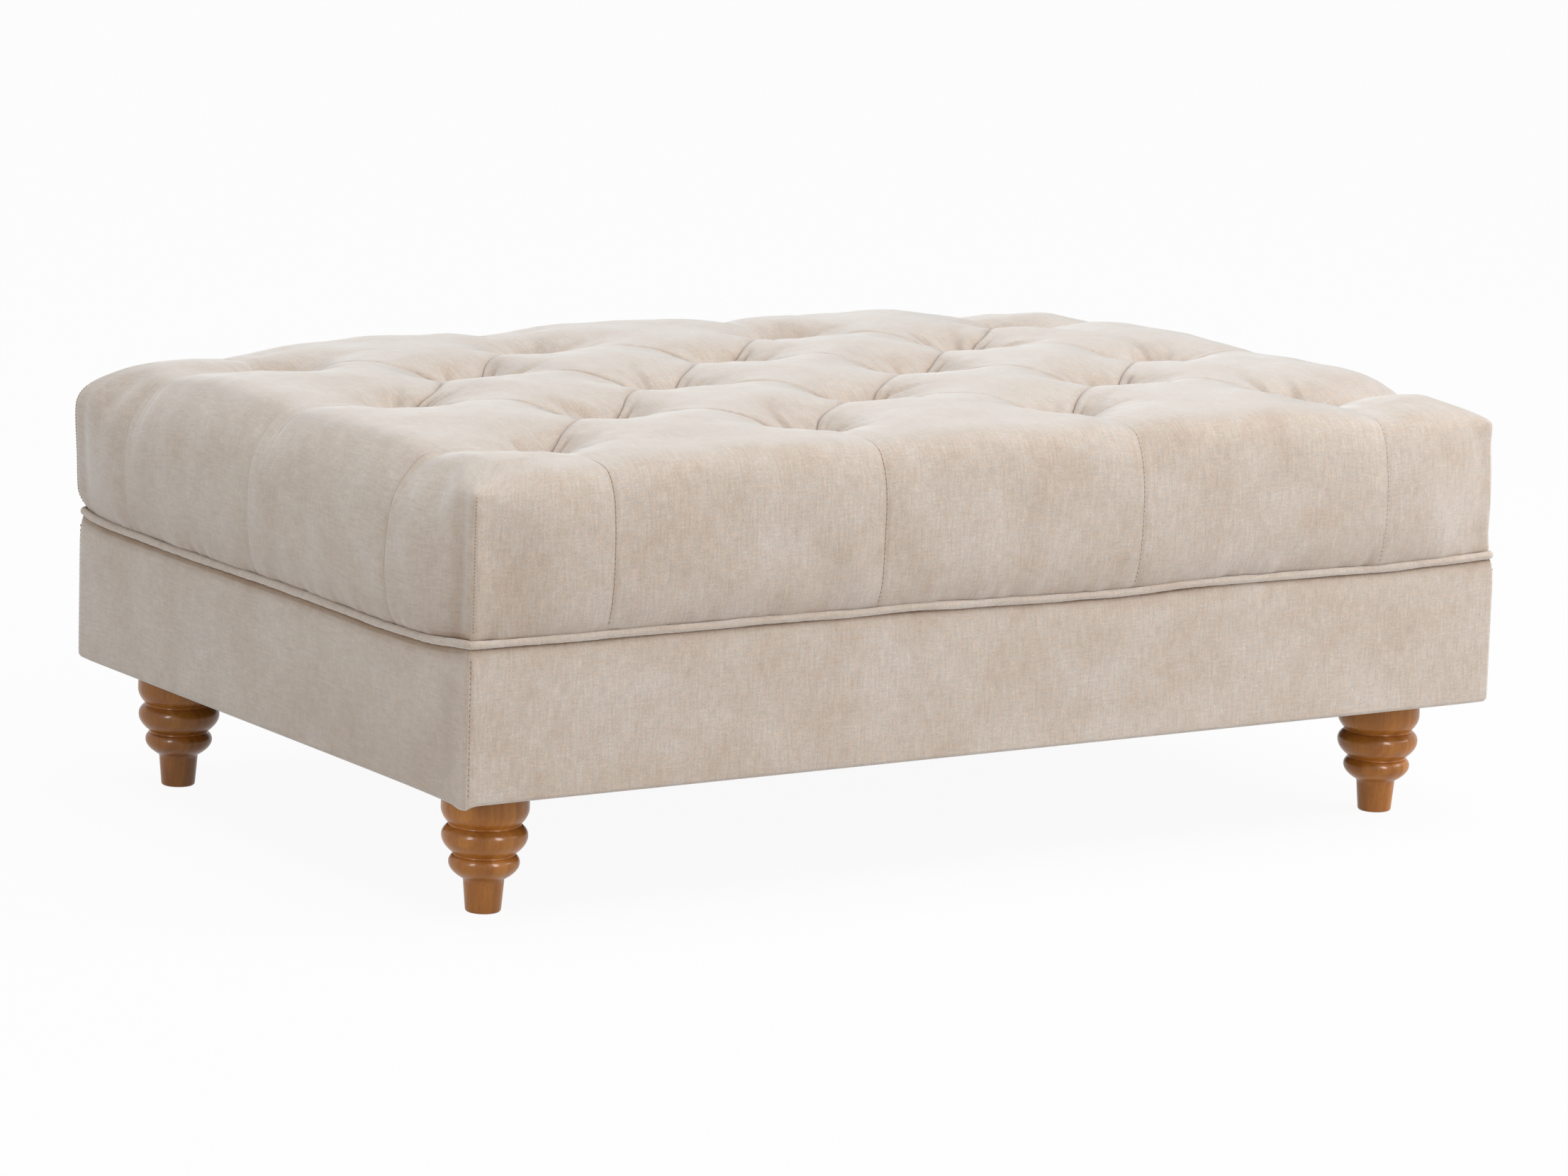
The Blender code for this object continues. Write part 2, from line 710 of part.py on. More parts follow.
def build_corner_blocks(bolt_drill):
    """A five-sided block in each corner of the rails, over the foot."""
    outer_x = INNER_X - FIT_GAP
    outer_y = INNER_Y - FIT_GAP
    plan = (
        (outer_x, outer_y),
        (outer_x - BLOCK_SIZE, outer_y),
        (outer_x - BLOCK_SIZE, outer_y - BLOCK_SIZE + BLOCK_CHAMFER),
        (outer_x - BLOCK_SIZE + BLOCK_CHAMFER, outer_y - BLOCK_SIZE),
        (outer_x, outer_y - BLOCK_SIZE),
    )
    for name, sign_x, sign_y in CORNERS:
        bm = bmesh.new()
        low = [bm.verts.new((sign_x * x, sign_y * y, RAIL_BOTTOM)) for x, y in plan]
        extruded = bmesh.ops.extrude_face_region(bm, geom=[bm.faces.new(low)])
        top = [part for part in extruded["geom"] if isinstance(part, bmesh.types.BMVert)]
        bmesh.ops.translate(bm, verts=top, vec=(0, 0, BLOCK_HEIGHT))
        cut(add_object("corner_block_" + name, bm, MATERIALS["frame"]), bolt_drill)


def build_dust_cover(bolt_drill):
    cover = add_slab("dust_cover", DUST_COVER_INSET, DUST_COVER_BOTTOM, DUST_COVER_TOP, MATERIALS["dust"])
    cut(cover, bolt_drill)


def make_bolt_drill():
    bm = bmesh.new()
    for _, sign_x, sign_y in CORNERS:
        place = (sign_x * FOOT_X, sign_y * FOOT_Y)
        low = DUST_COVER_BOTTOM - DUST_COVER
        add_prism(bm, place, BOLT_HOLE_RADIUS, low, BLOCK_TOP + DUST_COVER, SMALL_FACETS)
    return add_cutter("bolt_drill", bm)


# Feet

def foot_profile():
    """Outline of a turned foot, from the middle of its sole up and down into the bolt's bore."""
    profile = [(0, 0), (FOOT_SOLE_RADIUS, 0), (FOOT_TOE_RADIUS, FOOT_TOE_HEIGHT)]
    start = FOOT_TOP - sum(bead[0] for bead in FOOT_BEADS)
    start_radius = ANKLE_RADIUS
    profile.append((start_radius, start))
    for height, belly_rise, belly_radius, top_radius in FOOT_BEADS:
        belly = start + belly_rise
        top = start + height
        profile += flank(belly, belly_radius, start, start_radius, BEAD_STEPS[0])[1:]
        profile += flank(belly, belly_radius, top, top_radius, BEAD_STEPS[1])[-2::-1]
        start, start_radius = top, top_radius
    bore = BOLT_RADIUS + FIT_GAP
    floor = FOOT_TOP - BOLT_IN_FOOT
    return profile + [(bore, FOOT_TOP), (bore, floor), (0, floor)]


def flank(belly, belly_radius, end, end_radius, steps):
    """Parabola from the end of a bead to its belly."""
    points = []
    for step in range(steps + 1):
        away = 1 - step / steps
        radius = belly_radius - (belly_radius - end_radius) * away ** 2
        points.append((radius, belly + (end - belly) * away))
    return points


def build_feet():
    bolt_low = FOOT_TOP - BOLT_IN_FOOT + FIT_GAP
    nut_top = BLOCK_TOP + FIT_GAP + NUT_FLANGE
    bolt_high = nut_top + BOLT_ABOVE_NUT
    bore = BOLT_RADIUS + FIT_GAP
    barrel = bore + NUT_BARREL_WALL
    nut_profile = [
        (bore, -NUT_BARREL_LENGTH),
        (barrel, -NUT_BARREL_LENGTH),
        (barrel, -NUT_FLANGE),
        (NUT_FLANGE_RADIUS, -NUT_FLANGE),
        (NUT_FLANGE_RADIUS, 0),
        (bore, 0),
    ]
    bolt_length = bolt_high - bolt_low
    bolt_profile = [(0, 0), (BOLT_RADIUS, 0), (BOLT_RADIUS, bolt_length), (0, bolt_length)]
    for name, sign_x, sign_y in CORNERS:
        x, y = sign_x * FOOT_X, sign_y * FOOT_Y
        add_turned("foot_" + name, foot_profile(), (x, y, 0), MATERIALS["wood"], FOOT_FACETS, 40)
        add_turned("bolt_" + name, bolt_profile, (x, y, bolt_low), MATERIALS["steel"], SMALL_FACETS, 40)
        add_turned("tee_nut_" + name, nut_profile, (x, y, nut_top), MATERIALS["steel"], SMALL_FACETS, 40)


clear_scene()
MATERIALS = {
    "cloth": make_material("beige_chenille", (0.60, 0.51, 0.44), 0.9),
    "piping": make_material("beige_chenille_piping", (0.57, 0.48, 0.41), 0.9),
    "wood": make_material("lacquered_beech", (0.36, 0.16, 0.06), 0.35),
    "frame": make_material("sawn_pine", (0.62, 0.44, 0.25), 0.7),
    "ply": make_material("birch_plywood", (0.66, 0.49, 0.30), 0.65),
    "foam": make_material("seat_foam", (0.80, 0.76, 0.60), 0.95),
    "wadding": make_material("fibre_wadding", (0.88, 0.88, 0.86), 0.95),
    "dust": make_material("black_lining", (0.03, 0.03, 0.03), 0.9),
    "twine": make_material("waxed_twine", (0.70, 0.62, 0.48), 0.8),
    "steel": make_material("zinc_steel", (0.62, 0.62, 0.60), 0.35, 1.0),
}
build_feet()
drill_for_bolts = make_bolt_drill()
build_corner_blocks(drill_for_bolts)
build_dust_cover(drill_for_bolts)
build_rails()
build_cross_rails()
build_wadding_band()
build_base_cover()
build_foam_and_deck()
build_wrap()
build_cover()
build_twine()
build_buttons()
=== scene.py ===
"""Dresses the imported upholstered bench: tufted seat, piping, base cover, turned feet, lining."""

import logging
import math
from dataclasses import dataclass, field, replace
from enum import Enum
from functools import reduce

import bpy
import numpy as np
from mathutils import Matrix, Vector


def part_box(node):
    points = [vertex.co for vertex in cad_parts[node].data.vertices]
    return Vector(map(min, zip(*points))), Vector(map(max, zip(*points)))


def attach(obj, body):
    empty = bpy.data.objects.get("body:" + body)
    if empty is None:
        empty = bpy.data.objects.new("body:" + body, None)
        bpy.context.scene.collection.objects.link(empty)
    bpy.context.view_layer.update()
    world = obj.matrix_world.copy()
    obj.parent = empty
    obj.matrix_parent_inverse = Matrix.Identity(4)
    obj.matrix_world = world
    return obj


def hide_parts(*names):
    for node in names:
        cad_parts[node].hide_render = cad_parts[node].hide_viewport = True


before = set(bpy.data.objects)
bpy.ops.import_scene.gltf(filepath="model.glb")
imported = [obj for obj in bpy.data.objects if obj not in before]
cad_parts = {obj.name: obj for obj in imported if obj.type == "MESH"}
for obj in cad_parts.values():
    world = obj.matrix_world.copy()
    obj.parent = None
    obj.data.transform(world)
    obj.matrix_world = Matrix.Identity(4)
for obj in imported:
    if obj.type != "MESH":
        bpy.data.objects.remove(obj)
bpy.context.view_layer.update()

LOG = logging.getLogger("bench")
BODY = "root"
WEAVE = "weave"
# Name of the attribute that holds the painted shade, 0 to 1, which darkens the cloth in creases,
# grooves and under the piping.
PAINTED_SHADE = "fold"
WHITE = (1.0, 1.0, 1.0, 1.0)
UP = np.array([0.0, 0.0, 1.0])
FIRST_STITCH = 0.002

Array = np.ndarray
Piece = bpy.types.Object
Material = bpy.types.Material
Socket = bpy.types.NodeSocket


class Side(Enum):
    """The four sides in the order that the seams run: name, the way it runs, the way it faces."""

    FRONT = ("front", (1.0, 0.0), (0.0, -1.0))
    RIGHT = ("right", (0.0, 1.0), (1.0, 0.0))
    BACK = ("back", (-1.0, 0.0), (0.0, 1.0))
    LEFT = ("left", (0.0, -1.0), (-1.0, 0.0))

    @property
    def label(self) -> str:
        """The side's name in the CAD nodes."""
        return self.value[0]

    @property
    def number(self) -> int:
        """The side's number in the order of the seams."""
        return list(Side).index(self)

    @property
    def way(self) -> Array:
        """The way the side runs, in the frame."""
        return np.array([*self.value[1], 0.0])

    @property
    def long(self) -> bool:
        """Whether this is one of the two long sides."""
        return self in (Side.FRONT, Side.BACK)

    def plan(self, along: Array, out: Array) -> tuple[Array, Array]:
        """Turns distances along the side and out from the middle of the bench into x and y."""
        run, face = self.value[1], self.value[2]
        return along * run[0] + out * face[0], along * run[1] + out * face[1]


@dataclass(frozen=True)
class BenchSizes:
    """The main sizes, read from the frame, in metres."""

    half_width: float
    half_depth: float
    underside: float
    seam_height: float
    crest: float

    @classmethod
    def from_frame(cls) -> "BenchSizes":
        """Reads the sizes from the boxes of the CAD nodes."""
        low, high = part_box("piping_front")
        return cls(
            half_width=-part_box("base_panel_left")[0].x,
            half_depth=-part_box("base_panel_front")[0].y,
            underside=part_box("base_panel_front")[0].z,
            seam_height=(low.z + high.z) / 2,
            crest=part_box("seat_cover")[1].z,
        )

    def half_run(self, side: Side) -> float:
        """Half the length of a side."""
        return self.half_width if side.long else self.half_depth

    def half_out(self, side: Side) -> float:
        """The distance of a side from the middle of the bench."""
        return self.half_depth if side.long else self.half_width


def nodes_of(start: str) -> list[str]:
    """The CAD nodes whose names start alike, in order."""
    return sorted(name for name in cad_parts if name.startswith(start))


def smooth(low: float, high: float, value: Array) -> Array:
    """A step with soft ends, from 0 where the value is low to 1 where it is high."""
    q = np.clip((np.asarray(value) - low) / (high - low), 0.0, 1.0)
    return q * q * (3.0 - 2.0 * q)


def join(*parts: Array) -> Array:
    """Puts coordinates of one shape together, with a row a place."""
    return np.stack(np.broadcast_arrays(*parts), axis=-1)


def unit(rows: Array) -> Array:
    """Gives each row the length 1."""
    return rows / np.linalg.norm(rows, axis=1, keepdims=True)


def travelled(line: Array) -> Array:
    """The distance from a line's start to each of its points."""
    return np.concatenate([[0.0], np.cumsum(np.linalg.norm(np.diff(line, axis=0), axis=1))])


def bell(value: Array, width: float | Array) -> Array:
    """A rounded bump of height 1 over the value 0."""
    return np.exp(-((value / width) ** 2))


def fading(value: Array, reach: float) -> Array:
    """A share of 1 up to the value 0 that dies away beyond it."""
    return np.exp(-np.clip(value, 0, None) / reach)


@dataclass(frozen=True)
class SeamLine:
    """How far the seam under the seat dips between the corners, by place along each side."""

    front: tuple = (
        (-0.54, 0.0003), (-0.44, 0.0010), (-0.33, 0.0005), (-0.22, 0.0010), (-0.11, 0.0010),
        (-0.055, 0.0016), (0.0, 0.0027), (0.055, 0.0039), (0.11, 0.0045), (0.166, 0.0035),
        (0.221, 0.0018), (0.248, 0.0013), (0.276, 0.0016), (0.331, 0.0024), (0.386, 0.0031),
        (0.442, 0.0031), (0.497, 0.0018), (0.541, 0.0),
    )
    right: tuple = (
        (-0.35, 0.0005), (-0.30, 0.0026), (-0.19, 0.0040), (-0.05, 0.0031), (0.07, 0.0042),
        (0.20, 0.0048), (0.30, 0.0034), (0.35, 0.0008),
    )
    back: tuple = (
        (-0.54, 0.0004), (-0.41, 0.0024), (-0.28, 0.0012), (-0.13, 0.0021), (0.02, 0.0012),
        (0.18, 0.0030), (0.31, 0.0016), (0.43, 0.0026), (0.54, 0.0004),
    )
    left: tuple = (
        (-0.352, 0.0022), (-0.312, 0.0052), (-0.262, 0.0061), (-0.212, 0.0065), (-0.112, 0.0067),
        (-0.012, 0.0064), (0.038, 0.0060), (0.088, 0.0061), (0.138, 0.0072), (0.188, 0.0079),
        (0.238, 0.0073), (0.288, 0.0060), (0.313, 0.0042), (0.338, 0.0012), (0.358, 0.0),
    )
    spread: float = 0.012

    def dip(self, side: Side, along: Array, half: float) -> Array:
        """How far the seam lies below its height at the corners.

        Args:
            side: the side.
            along: places along it.
            half: half its length.

        Returns:
            One depth a place.
        """
        marks = np.array(getattr(self, side.label))
        shifts = np.linspace(-self.spread, self.spread, 7)
        depths = [np.interp(along + shift, marks[:, 0], marks[:, 1]) for shift in shifts]
        depth = np.mean(depths, axis=0)
        return depth * smooth(0.002, 0.022, half - np.abs(along))


@dataclass
class Ripple:
    """A soft uneven field over a plane, made of waves in seeded directions."""

    seed: int
    shortest: float
    longest: float
    waves: int = 14

    def __call__(self, x: Array, y: Array) -> Array:
        """The field's height, about -1 to 1.

        Args:
            x: places along the first axis.
            y: places along the second axis.

        Returns:
            One height a place.
        """
        rng = np.random.default_rng(self.seed)
        total = np.zeros(np.broadcast(x, y).shape)
        for _ in range(self.waves):
            length = self.shortest * (self.longest / self.shortest) ** rng.random()
            turn, phase = rng.random(2) * 2.0 * math.pi
            travel = x * math.cos(turn) + y * math.sin(turn)
            total += np.sin(travel * 2.0 * math.pi / length + phase)
        return total / math.sqrt(self.waves)


def add_piece(
    name: str, points: Array, faces: list, weave: Array | None = None, fold: Array | None = None
) -> Piece:
    """Makes a smooth-shaded mesh piece and links it into the scene.

    Args:
        name: the piece's name.
        points: x, y, z of each vertex, as rows or as a grid.
        faces: index arrays, each with one row a face.
        weave: cloth coordinates in metres, one pair a vertex or a face corner.
        fold: the painted shade at each vertex, 0 to 1, which darkens the cloth's colour there.

    Returns:
        The new object.
    """
    points = points.reshape(-1, 3)
    corners = np.concatenate([f.ravel() for f in faces]).astype(np.int32)
    sizes = np.concatenate([np.full(len(f), f.shape[1]) for f in faces])
    mesh = bpy.data.meshes.new(name)
    mesh.vertices.add(len(points))
    mesh.vertices.foreach_set("co", np.ascontiguousarray(points, np.float32).ravel())
    mesh.loops.add(len(corners))
    mesh.loops.foreach_set("vertex_index", corners)
    mesh.polygons.add(len(sizes))
    starts = np.cumsum(sizes) - sizes
    mesh.polygons.foreach_set("loop_start", starts.astype(np.int32))
    if weave is not None:
        layer = mesh.uv_layers.new(name=WEAVE)
        rows = weave.reshape(-1, 2)
        rows = rows if len(rows) == len(corners) else rows[corners]
        layer.data.foreach_set("uv", np.ascontiguousarray(rows, np.float32).ravel())
    if fold is not None:
        layer = mesh.attributes.new(PAINTED_SHADE, "FLOAT", "POINT")
        layer.data.foreach_set("value", np.ascontiguousarray(fold, np.float32).ravel())
    mesh.update(calc_edges=True)
    mesh.validate()
    mesh.shade_smooth()
    piece = bpy.data.objects.new(name, mesh)
    bpy.context.scene.collection.objects.link(piece)
    return piece


def grid_faces(rows: int, columns: int, closed: bool = False) -> Array:
    """The quads of a grid of points that is stored row by row.

    Args:
        rows: rows of points.
        columns: points in a row.
        closed: whether the last column joins the first.

    Returns:
        One row of four indices a quad.
    """
    r = np.arange(rows - 1)[:, None] * columns
    c = np.arange(columns if closed else columns - 1)[None, :]
    n = (c + 1) % columns
    quads = np.stack([r + c, r + n, r + columns + n, r + columns + c], axis=-1)
    return quads.reshape(-1, 4)


def tube_faces(rings: int, columns: int) -> list[Array]:
    """The quads of a tube of rings, and the two faces that close its ends."""
    ring = np.arange(columns)[None, :]
    return [grid_faces(rings, columns, closed=True), ring[:, ::-1], ring + (rings - 1) * columns]


def shell(outer: Array, inner: Array) -> tuple[Array, Array]:
    """Closes two facing grids of points into one thin shell.

    Args:
        outer: the grid that shows, of shape rows, columns, 3.
        inner: the grid behind it, of the same shape.

    Returns:
        The points and the quads.
    """
    rows, columns = outer.shape[:2]
    count = rows * columns
    front = grid_faces(rows, columns)
    index = np.arange(count).reshape(rows, columns)
    rim = np.concatenate([index[0, :-1], index[:-1, -1], index[-1, :0:-1], index[:0:-1, 0]])
    after = np.roll(rim, -1)
    walls = np.stack([after, rim, rim + count, after + count], axis=-1)
    points = np.concatenate([outer.reshape(-1, 3), inner.reshape(-1, 3)])
    return points, np.concatenate([front, front[:, ::-1] + count, walls])


def curve_weights(count: int, places: Array) -> Array:
    """The weights of a clamped cubic curve's control points.

    Args:
        count: how many control points there are.
        places: places along the curve, 0 to 1.

    Returns:
        One row of weights a place.
    """
    knots = np.concatenate([np.zeros(3), np.linspace(0.0, 1.0, count - 2), np.ones(3)])
    q = np.clip(places, 0.0, 1.0 - 1e-9)[:, None]
    basis = ((q >= knots[:-1]) & (q < knots[1:])).astype(float)
    for degree in (1, 2, 3):
        spans = len(knots) - degree - 1
        left = knots[degree:degree + spans] - knots[:spans]
        right = knots[degree + 1:degree + 1 + spans] - knots[1:1 + spans]
        rise = np.where(left > 0, (q - knots[:spans]) / np.where(left > 0, left, 1.0), 0.0)
        ends = knots[degree + 1:degree + 1 + spans]
        fall = np.where(right > 0, (ends - q) / np.where(right > 0, right, 1.0), 0.0)
        basis = rise * basis[:, :spans] + fall * basis[:, 1:spans + 1]
    return basis


def stitch_run(line: Array, pitch: float) -> tuple[Array, Array]:
    """Places stitches along a line.

    Args:
        line: the points of the line.
        pitch: the distance from one stitch to the next.

    Returns:
        The middle of each stitch and the way it points.
    """
    travel = travelled(line)
    marks = np.arange(FIRST_STITCH, travel[-1], pitch)
    middle, ahead, behind = (
        join(*(np.interp(marks + shift, travel, line[:, k]) for k in range(3)))
        for shift in (0.0, pitch / 4, -pitch / 4)
    )
    return middle, unit(ahead - behind)


def sew(name: str, thread: Material, runs: list[tuple], size: tuple) -> Piece:
    """Makes one piece of many short bent wires whose ends go down into what they hold.

    Args:
        name: the piece's name.
        thread: what the wires are made of.
        runs: for each run the middles of its wires, the ways they run and the ways they stand up.
        size: the length of a wire, its thickness, halved, and how far its ends go down.

    Returns:
        The new object.
    """
    length, radius, dip = size
    middles, ways, ups = (np.concatenate(rows)[:, None, :] for rows in zip(*runs))
    along = np.linspace(-1.0, 1.0, 7)
    turns = np.arange(8) * 2.0 * math.pi / 8
    bent = ups * (dip * along**4)[None, :, None]
    centre = middles + ways * (along * length / 2)[None, :, None] - bent
    width = radius * np.sqrt(np.clip(1.0 - 0.9 * along**6, 0.05, 1.0))
    ring = np.cross(ways, ups) * np.cos(turns)[:, None] + ups * np.sin(turns)[:, None]
    points = centre[:, :, None, :] + ring[:, None] * width[None, :, None, None]
    starts = np.arange(len(middles))[:, None, None] * len(along) * len(turns)
    faces = tube_faces(len(along), len(turns))
    quads, first, last = ((face[None] + starts).reshape(-1, face.shape[1]) for face in faces)
    piece = add_piece(name, points, [quads, np.concatenate([first, last])])
    piece.data.materials.append(thread)
    return piece


def seam_lip(line: Array, run: Array, width: float, rise: float) -> Array:
    """A thin raised edge along a line, where one side of a pleat is folded over the other.

    Args:
        line: the points of the line.
        run: the way across the line, level with the cloth.
        width: the width of the edge.
        rise: how far it stands up from the cloth.

    Returns:
        The points, four a place.
    """
    way = np.gradient(line, axis=0)
    up = unit(np.cross(way, run))
    across = unit(np.cross(up, way))
    ends = np.minimum(np.arange(len(line)), np.arange(len(line))[::-1])
    taper = (0.25 + 0.75 * smooth(0.0, 4.0, ends))[:, None]
    wide, high = across * width / 2 * taper, up * rise * taper
    root, crest = up * 0.0005, wide * 0.6
    rows = [line - wide - root, line - crest + high, line + crest + high, line + wide - root]
    return np.stack(rows, axis=1)


class NodeTree:
    """The node tree of a material or a world, filled one node at a time."""

    def __init__(self, owner: Material | bpy.types.World) -> None:
        """Empties the owner's tree down to its output.

        Args:
            owner: the material or the world.
        """
        owner.use_nodes = True
        self.owner, self.tree = owner, owner.node_tree
        self.tree.nodes.clear()
        kind = "World" if isinstance(owner, bpy.types.World) else "Material"
        self.output = self.tree.nodes.new("ShaderNodeOutput" + kind)

    @classmethod
    def material(cls, name: str) -> "NodeTree":
        """The tree of a new material."""
        return cls(bpy.data.materials.new(name))

    def add(self, kind: str, inputs: dict | None = None, **settings: object) -> bpy.types.Node:
        """Adds a node.

        Args:
            kind: the node's type, without its ShaderNode prefix.
            inputs: values, or sockets to link from, by input name or number.
            settings: the node's own properties.

        Returns:
            The new node.
        """
        node = self.tree.nodes.new("ShaderNode" + kind)
        for key, value in settings.items():
            setattr(node, key, value)
        for key, value in (inputs or {}).items():
            if isinstance(value, Socket):
                self.tree.links.new(value, node.inputs[key])
            else:
                node.inputs[key].default_value = value
        return node

    def place(self) -> Socket:
        """The place on the piece, in metres."""
        return self.add("TexCoord").outputs["Object"]

    def math(self, operation: str, first: object, second: object = 0.0) -> Socket:
        """A sum on one or two numbers or sockets."""
        return self.add("Math", {0: first, 1: second}, operation=operation).outputs[0]

    def total(self, *parts: tuple[Socket, float]) -> Socket:
        """Adds up sockets, each times its own share."""
        shares = [self.math("MULTIPLY", socket, share) for socket, share in parts]
        return reduce(lambda first, second: self.math("ADD", first, second), shares)

    def noise(self, place: Socket, scale: float, detail: float, rough: float) -> Socket:
        """A noise factor at a place."""
        inputs = {"Vector": place, "Scale": scale, "Detail": detail, "Roughness": rough}
        return self.add("TexNoise", inputs).outputs["Fac"]

    def grain(self, place: Socket, scale: tuple, detail: float, rough: float) -> Socket:
        """A noise factor with its own scale along each axis."""
        return self.noise(self.stretch(place, scale), 1.0, detail, rough)

    def wander(self, place: Socket, scale: float, detail: float, reach: tuple) -> Socket:
        """Moves a place by a noise, up to a reach along each axis."""
        noise = self.add("TexNoise", {"Vector": place, "Scale": scale, "Detail": detail}).outputs
        return self.add(
            "VectorMath", {0: noise["Color"], 1: reach, 2: place}, operation="MULTIPLY_ADD"
        ).outputs[0]

    def stretch(self, place: Socket, scale: tuple, turn: float = 0.0) -> Socket:
        """Scales a place along each axis after a turn about the third."""
        inputs = {"Vector": place, "Rotation": (0.0, 0.0, turn), "Scale": scale}
        return self.add("Mapping", inputs, vector_type="POINT").outputs[0]

    def ramp(self, factor: Socket, stops: list[tuple]) -> Socket:
        """Colours from a factor.

        Args:
            factor: the factor, 0 to 1.
            stops: positions, each with its colour.

        Returns:
            The colour.
        """
        node = self.add("ValToRGB", {"Fac": factor})
        marks = node.color_ramp.elements
        while len(marks) < len(stops):
            marks.new(0.5)
        for mark, (position, colour) in zip(marks, stops):
            mark.position = position
            mark.color = (*colour, 1.0)
        return node.outputs["Color"]

    def mix(self, factor: object, first: object, second: object, blend: str = "MIX") -> Socket:
        """Mixes two colours, each plain or from a socket."""
        inputs = {0: factor, 6: first, 7: second}
        return self.add("Mix", inputs, data_type="RGBA", blend_type=blend).outputs[2]

    def bump(self, height: Socket, depth: float, strength: float) -> Socket:
        """A bumped normal from a height of 0 to 1 and its depth in metres."""
        inputs = {"Height": height, "Distance": depth, "Strength": strength}
        return self.add("Bump", inputs).outputs[0]

    def finish(self, shader: bpy.types.Node) -> Material | bpy.types.World:
        """Links the main shader to the output and returns the owner."""
        self.tree.links.new(shader.outputs[0], self.output.inputs["Surface"])
        return self.owner

    def surface(self, inputs: dict) -> Material:
        """Ends a material with its main shader."""
        return self.finish(self.add("BsdfPrincipled", inputs))

    def backdrop(self, lit: bpy.types.Node, seen: bpy.types.Node, share: float) -> bpy.types.ID:
        """Ends the tree with one look for the light and another for the camera, mirrors and glass.

        Args:
            lit: the shader that takes part in the light.
            seen: the shader that the camera, mirrors and glass see.
            share: the share of it that they see.

        Returns:
            The tree's owner.
        """
        path = self.add("LightPath").outputs
        rays = self.math("MAXIMUM", path["Is Camera Ray"], path["Is Glossy Ray"])
        rays = self.math("MAXIMUM", rays, path["Is Transmission Ray"])
        inputs = {0: self.math("MULTIPLY", rays, share), 1: lit.outputs[0], 2: seen.outputs[0]}
        return self.finish(self.add("MixShader", inputs))


@dataclass(frozen=True)
class ChenilleFinish:
    """Brushed upholstery cloth with a fine slanting rib, mottled pile and a pale sheen.

    Scales of its fibres, threads and mottling are in cells a metre along and across the cloth.
    """

    name: str = "chenille"
    warm: tuple = (0.498, 0.381, 0.294)
    middle: tuple = (0.560, 0.461, 0.383)
    pale: tuple = (0.612, 0.531, 0.464)
    # Painted shade colour, mixed in where the painted-shade attribute is high.
    shaded: tuple = (0.210, 0.090, 0.015)
    rib: float = 0.0015
    slant: float = 40.0
    rib_breaks: float = 340.0
    rib_wander: tuple = (0.0018, 0.0018, 0.0)
    fibre: tuple = (640.0, 600.0, 1.0)
    warp: tuple = (450.0, 48.0, 1.0)
    weft: tuple = (80.0, 450.0, 1.0)
    cloud: float = 13.0
    mottle: tuple = (60.0, 50.0, 1.0)
    patches: tuple = (150.0, 125.0, 1.0)
    brushed: tuple = (300.0, 42.0, 1.0)
    yarns: float = 190.0
    shade_range: tuple = ((0.725, 0.715, 0.705), (1.243, 1.253, 1.263))
    hue_range: tuple = ((1.044, 1.0, 0.952), (0.956, 1.0, 1.048))
    bump_depth: float = 0.00040
    sheen: float = 1.0

    def ribs(self, tree: NodeTree, place: Socket) -> Socket:
        """The slanting ribs of the weave, broken here and there.

        Args:
            tree: the material's nodes.
            place: the place on the cloth.

        Returns:
            The ribs' height.
        """
        shifted = tree.wander(place, 160.0, 3.0, self.rib_wander)
        slant = tree.stretch(shifted, (1.0, 1.0, 1.0), math.radians(self.slant - 90.0))
        scale = 2.0 * math.pi / (20.0 * self.rib)
        wave = {"Vector": slant, "Scale": scale, "Distortion": 0.7, "Detail": 1.0}
        ribs = tree.add("TexWave", wave).outputs["Fac"]
        broken = tree.noise(place, self.rib_breaks, 2.0, 0.5)
        return tree.math("MULTIPLY", ribs, tree.math("MULTIPLY", broken, 2.0))

    def make(self) -> Material:
        """Builds the cloth's material.

        Returns:
            The material.
        """
        tree = NodeTree.material(self.name)
        place = tree.add("UVMap", uv_map=WEAVE).outputs[0]
        ribs = self.ribs(tree, place)
        fibre = tree.grain(place, self.fibre, 3.0, 0.65)
        warp = tree.grain(place, self.warp, 2.0, 0.6)
        weft = tree.grain(place, self.weft, 2.0, 0.6)
        cloud = tree.noise(place, self.cloud, 3.0, 0.55)
        mottle = tree.grain(place, self.mottle, 4.0, 0.62)
        patches = tree.grain(place, self.patches, 3.0, 0.60)
        brushed = tree.grain(place, self.brushed, 3.0, 0.6)
        tone = tree.total((cloud, 0.38), (mottle, 0.26), (patches, 0.24), (brushed, 0.12))
        colour = tree.ramp(tone, [(0.355, self.warm), (0.50, self.middle), (0.645, self.pale)])
        threads = tree.math("SUBTRACT", tree.total((warp, 0.44), (weft, 0.28)), 0.265)
        grain = tree.math("ADD", tree.total((ribs, 0.17), (fibre, 0.64)), threads)
        shade = tree.ramp(grain, list(zip((0.20, 0.80), self.shade_range)))
        colour = tree.mix(1.0, colour, shade, "MULTIPLY")
        yarns = tree.noise(place, self.yarns, 3.0, 0.7)
        hue = tree.ramp(yarns, list(zip((0.30, 0.70), self.hue_range)))
        colour = tree.mix(1.0, colour, hue, "MULTIPLY")
        # Painted shade: the attribute darkens the colour towards the shaded brown in creases,
        # grooves and under the piping.
        depth = tree.add("Attribute", attribute_name=PAINTED_SHADE).outputs["Fac"]
        return tree.surface({
            "Base Color": tree.mix(depth, colour, (*self.shaded, 1.0)),
            "Roughness": 0.86,
            "Specular IOR Level": 0.18,
            "Sheen Weight": self.sheen,
            "Sheen Roughness": 0.52,
            "Sheen Tint": WHITE,
            "Normal": tree.bump(grain, self.bump_depth, 0.35),
        })


